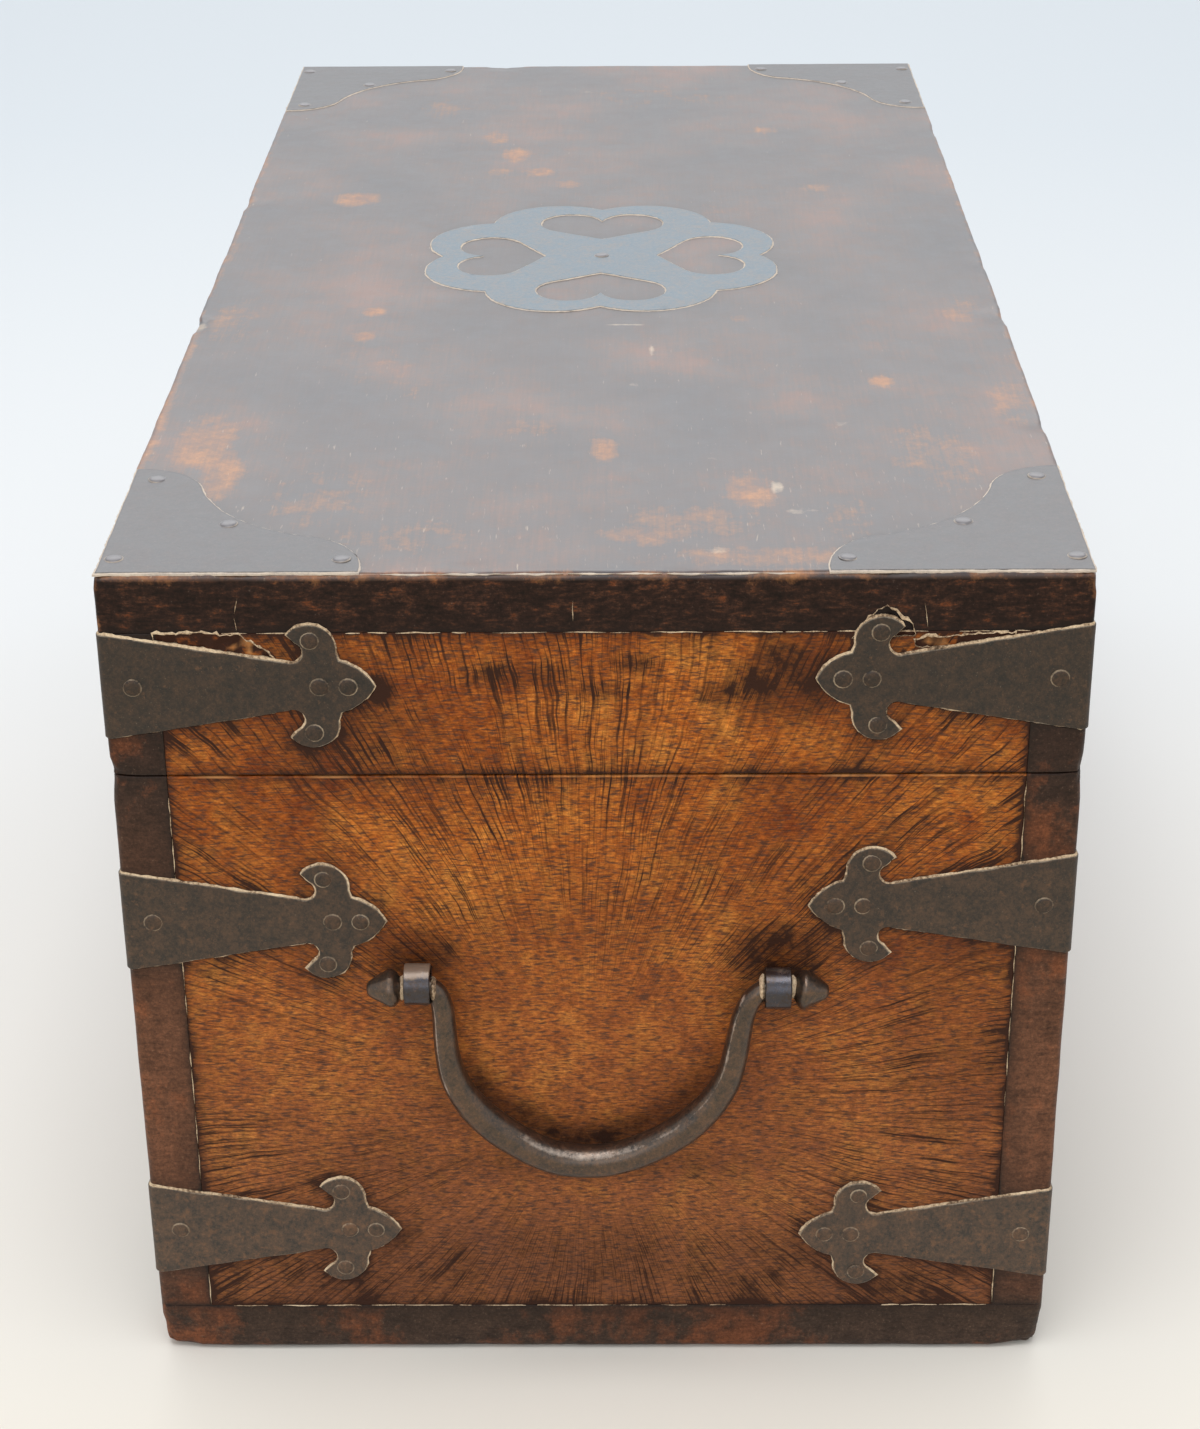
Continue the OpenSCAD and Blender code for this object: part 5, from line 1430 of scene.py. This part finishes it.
def nailTree():
    # puts a nail on every point, its head the way the point faces but for a little tilt
    tree = bpy.data.node_groups.new("nails on their places", "GeometryNodeTree")
    sockets = {}
    for name, kind in (("Geometry", "Geometry"), ("Nail", "Object"), ("Finish", "Material"),
                       ("Size Spread", "Float"), ("Tilt", "Float"), ("Seed", "Int")):
        made = tree.interface.new_socket(name, in_out="INPUT", socket_type="NodeSocket" + kind)
        sockets[name] = made.identifier
    tree.interface.new_socket("Geometry", in_out="OUTPUT", socket_type="NodeSocketGeometry")
    add = partial(addNode, tree)
    given = add("NodeGroupInput").node.outputs
    facing = add("GeometryNodeInputNamedAttribute", {"Name": "facing"}, data_type="FLOAT_VECTOR")
    upright = add("FunctionNodeAlignRotationToVector", {"Vector": facing}, axis="Z")
    less = add("Math", (0.0, given["Tilt"]), operation="SUBTRACT")
    lowTurn = add("CombineXYZ", (less, less, 0.0))
    highTurn = add("CombineXYZ", (given["Tilt"], given["Tilt"], 6.283))
    spin = add("FunctionNodeRandomValue", {0: lowTurn, 1: highTurn, "Seed": given["Seed"]},
               data_type="FLOAT_VECTOR")
    turned = add("FunctionNodeRotateRotation", (upright, add("FunctionNodeEulerToRotation", (spin,))),
                 rotation_space="LOCAL")
    small = add("Math", (1.0, given["Size Spread"]), operation="SUBTRACT")
    size = add("FunctionNodeRandomValue", {2: small, 3: 1.0, "Seed": given["Seed"]}, data_type="FLOAT")
    shape = add("GeometryNodeObjectInfo", {"Object": given["Nail"]}).node.outputs["Geometry"]
    placed = add("GeometryNodeInstanceOnPoints", {
        "Points": given["Geometry"], "Instance": shape, "Rotation": turned, "Scale": size})
    real = add("GeometryNodeRealizeInstances", {"Geometry": placed})
    add("NodeGroupOutput", (add("GeometryNodeSetMaterial", {"Geometry": real, "Material": given["Finish"]}),))
    return tree, sockets


nailNodes, nailSockets = nailTree()


def drive(node, body, seed, places, style="domed", length=nail["length"]):
    # nails on the places, each a point and the way its head faces
    template = nailShape(style, length)
    obj = meshObject(camelCase(node), [p for p, out in places], [], merge=False)
    facing = obj.data.attributes.new("facing", "FLOAT_VECTOR", "POINT")
    facing.data.foreach_set("vector", [c for p, out in places for c in out])
    change = obj.modifiers.new("nails", "NODES")
    change.node_group = nailNodes
    tilt = math.radians(nail["tilt"]) if style == "domed" else 0.0
    for key, value in (("Nail", template), ("Finish", finishes["nail_iron"]), ("Size Spread", nail["sizeSpread"]),
                       ("Tilt", tilt), ("Seed", nail["seed"] + seed)):
        change[nailSockets[key]] = value
    applyModifiers(obj)
    bpy.data.objects.remove(template)
    settle(obj, body, "nail_iron", [node], angle=60)


def strapNailPlaces(place):
    reach = strap["reach"] - strap["headLength"]
    head = [(reach + x, y) for x, y in strap["headNails"]]
    spots = [(strap["rootNail"], 0)] + head + [(-strap["sideRootNail"], 0)] + [(-u, v) for u, v in head]
    found = []
    for u, v in spots:
        at = place(u, v, chest["proud"])
        found.append((at, (place(u, v, 10) - at).normalized()))
    return found


up, down, front, back = Vector((0, 0, 1)), Vector((0, 0, -1)), Vector((0, -1, 0)), Vector((0, 1, 0))
for seed, part in enumerate(("lid", "body")):
    places = [spot for node, body, place, outline in straps if body == part for spot in strapNailPlaces(place)]
    drive(part + "_strap_nails", part, seed, places)
places = [(onTop(xSide, ySide)(u, v, topPlate["proud"]), up) for xSide in (-1, 1) for ySide in (-1, 1)
          for u, v in topPlate["nails"]]
drive("top_plate_nails", "lid", 2, places)
drive("rosette_nail", "lid", 3, [(onLid(0, 0, topPlate["proud"]), up)])

hinge = {"x": 120.0, "scale": 0.75, "lidReach": 36.0, "bodyReach": 50.0, "footNail": (9, 8), "leaf": 0.9,
         "seam": (chest["bodyTop"] + chest["lidBottom"]) / 2}
for body, way in (("lid", 1), ("body", -1)):
    u, v = hinge["footNail"]
    spots = [(u, v), (u, -v)]
    for i in (0, 2, 3):
        x, y = strap["headNails"][i]
        spots.append((hinge[body + "Reach"] - hinge["scale"] * (strap["headLength"] - x), hinge["scale"] * y))
    y = chest["halfWidth"] + hinge["leaf"]
    places = [(Vector((xSide * hinge["x"] + v, y, hinge["seam"] + way * u)), back)
              for xSide in (-1, 1) for u, v in spots]
    drive(f"hinge_{body}_nails", body, 4, places)

ring = arc(0, 0, 14.4, 45, 315, 3)
drive("keyhole_plate_nails", "body", 5, [(onFront(u, v, chest["proud"]), front) for u, v in ring], length=4.2)
head = 2.2  # radius of the nails' heads, which touch the box of their node
low, high = boxOf("lock_case_nails")
places = [(Vector((x, high.y - 0.55, z)), back) for x in (low.x + head, high.x - head)
          for z in (low.z + head, high.z - head)]
drive("lock_case_nails", "body", 6, places, length=8.0)
low, high = boxOf("hook_plate_nails")
places = [(Vector((x, (low.y + high.y) / 2, chest["lidBottom"])), down) for x in (low.x + head, high.x - head)]
drive("hook_plate_nails", "lid", 7, places, "sunk", 12.0)
long = [(x * (chest["halfLength"] - 90) / 2, y) for x in (-2, -1, 0, 1, 2) for y in (-113, 113)]
short = [(x, y * (2 * chest["halfWidth"] - 28) / 5) for x in (-243, 243) for y in (-1, 1)]
drive("bottom_board_nails", "body", 8, [(Vector((x, y, 0.1)), down) for x, y in long + short], "sunk", 28.0)
print("nails driven")
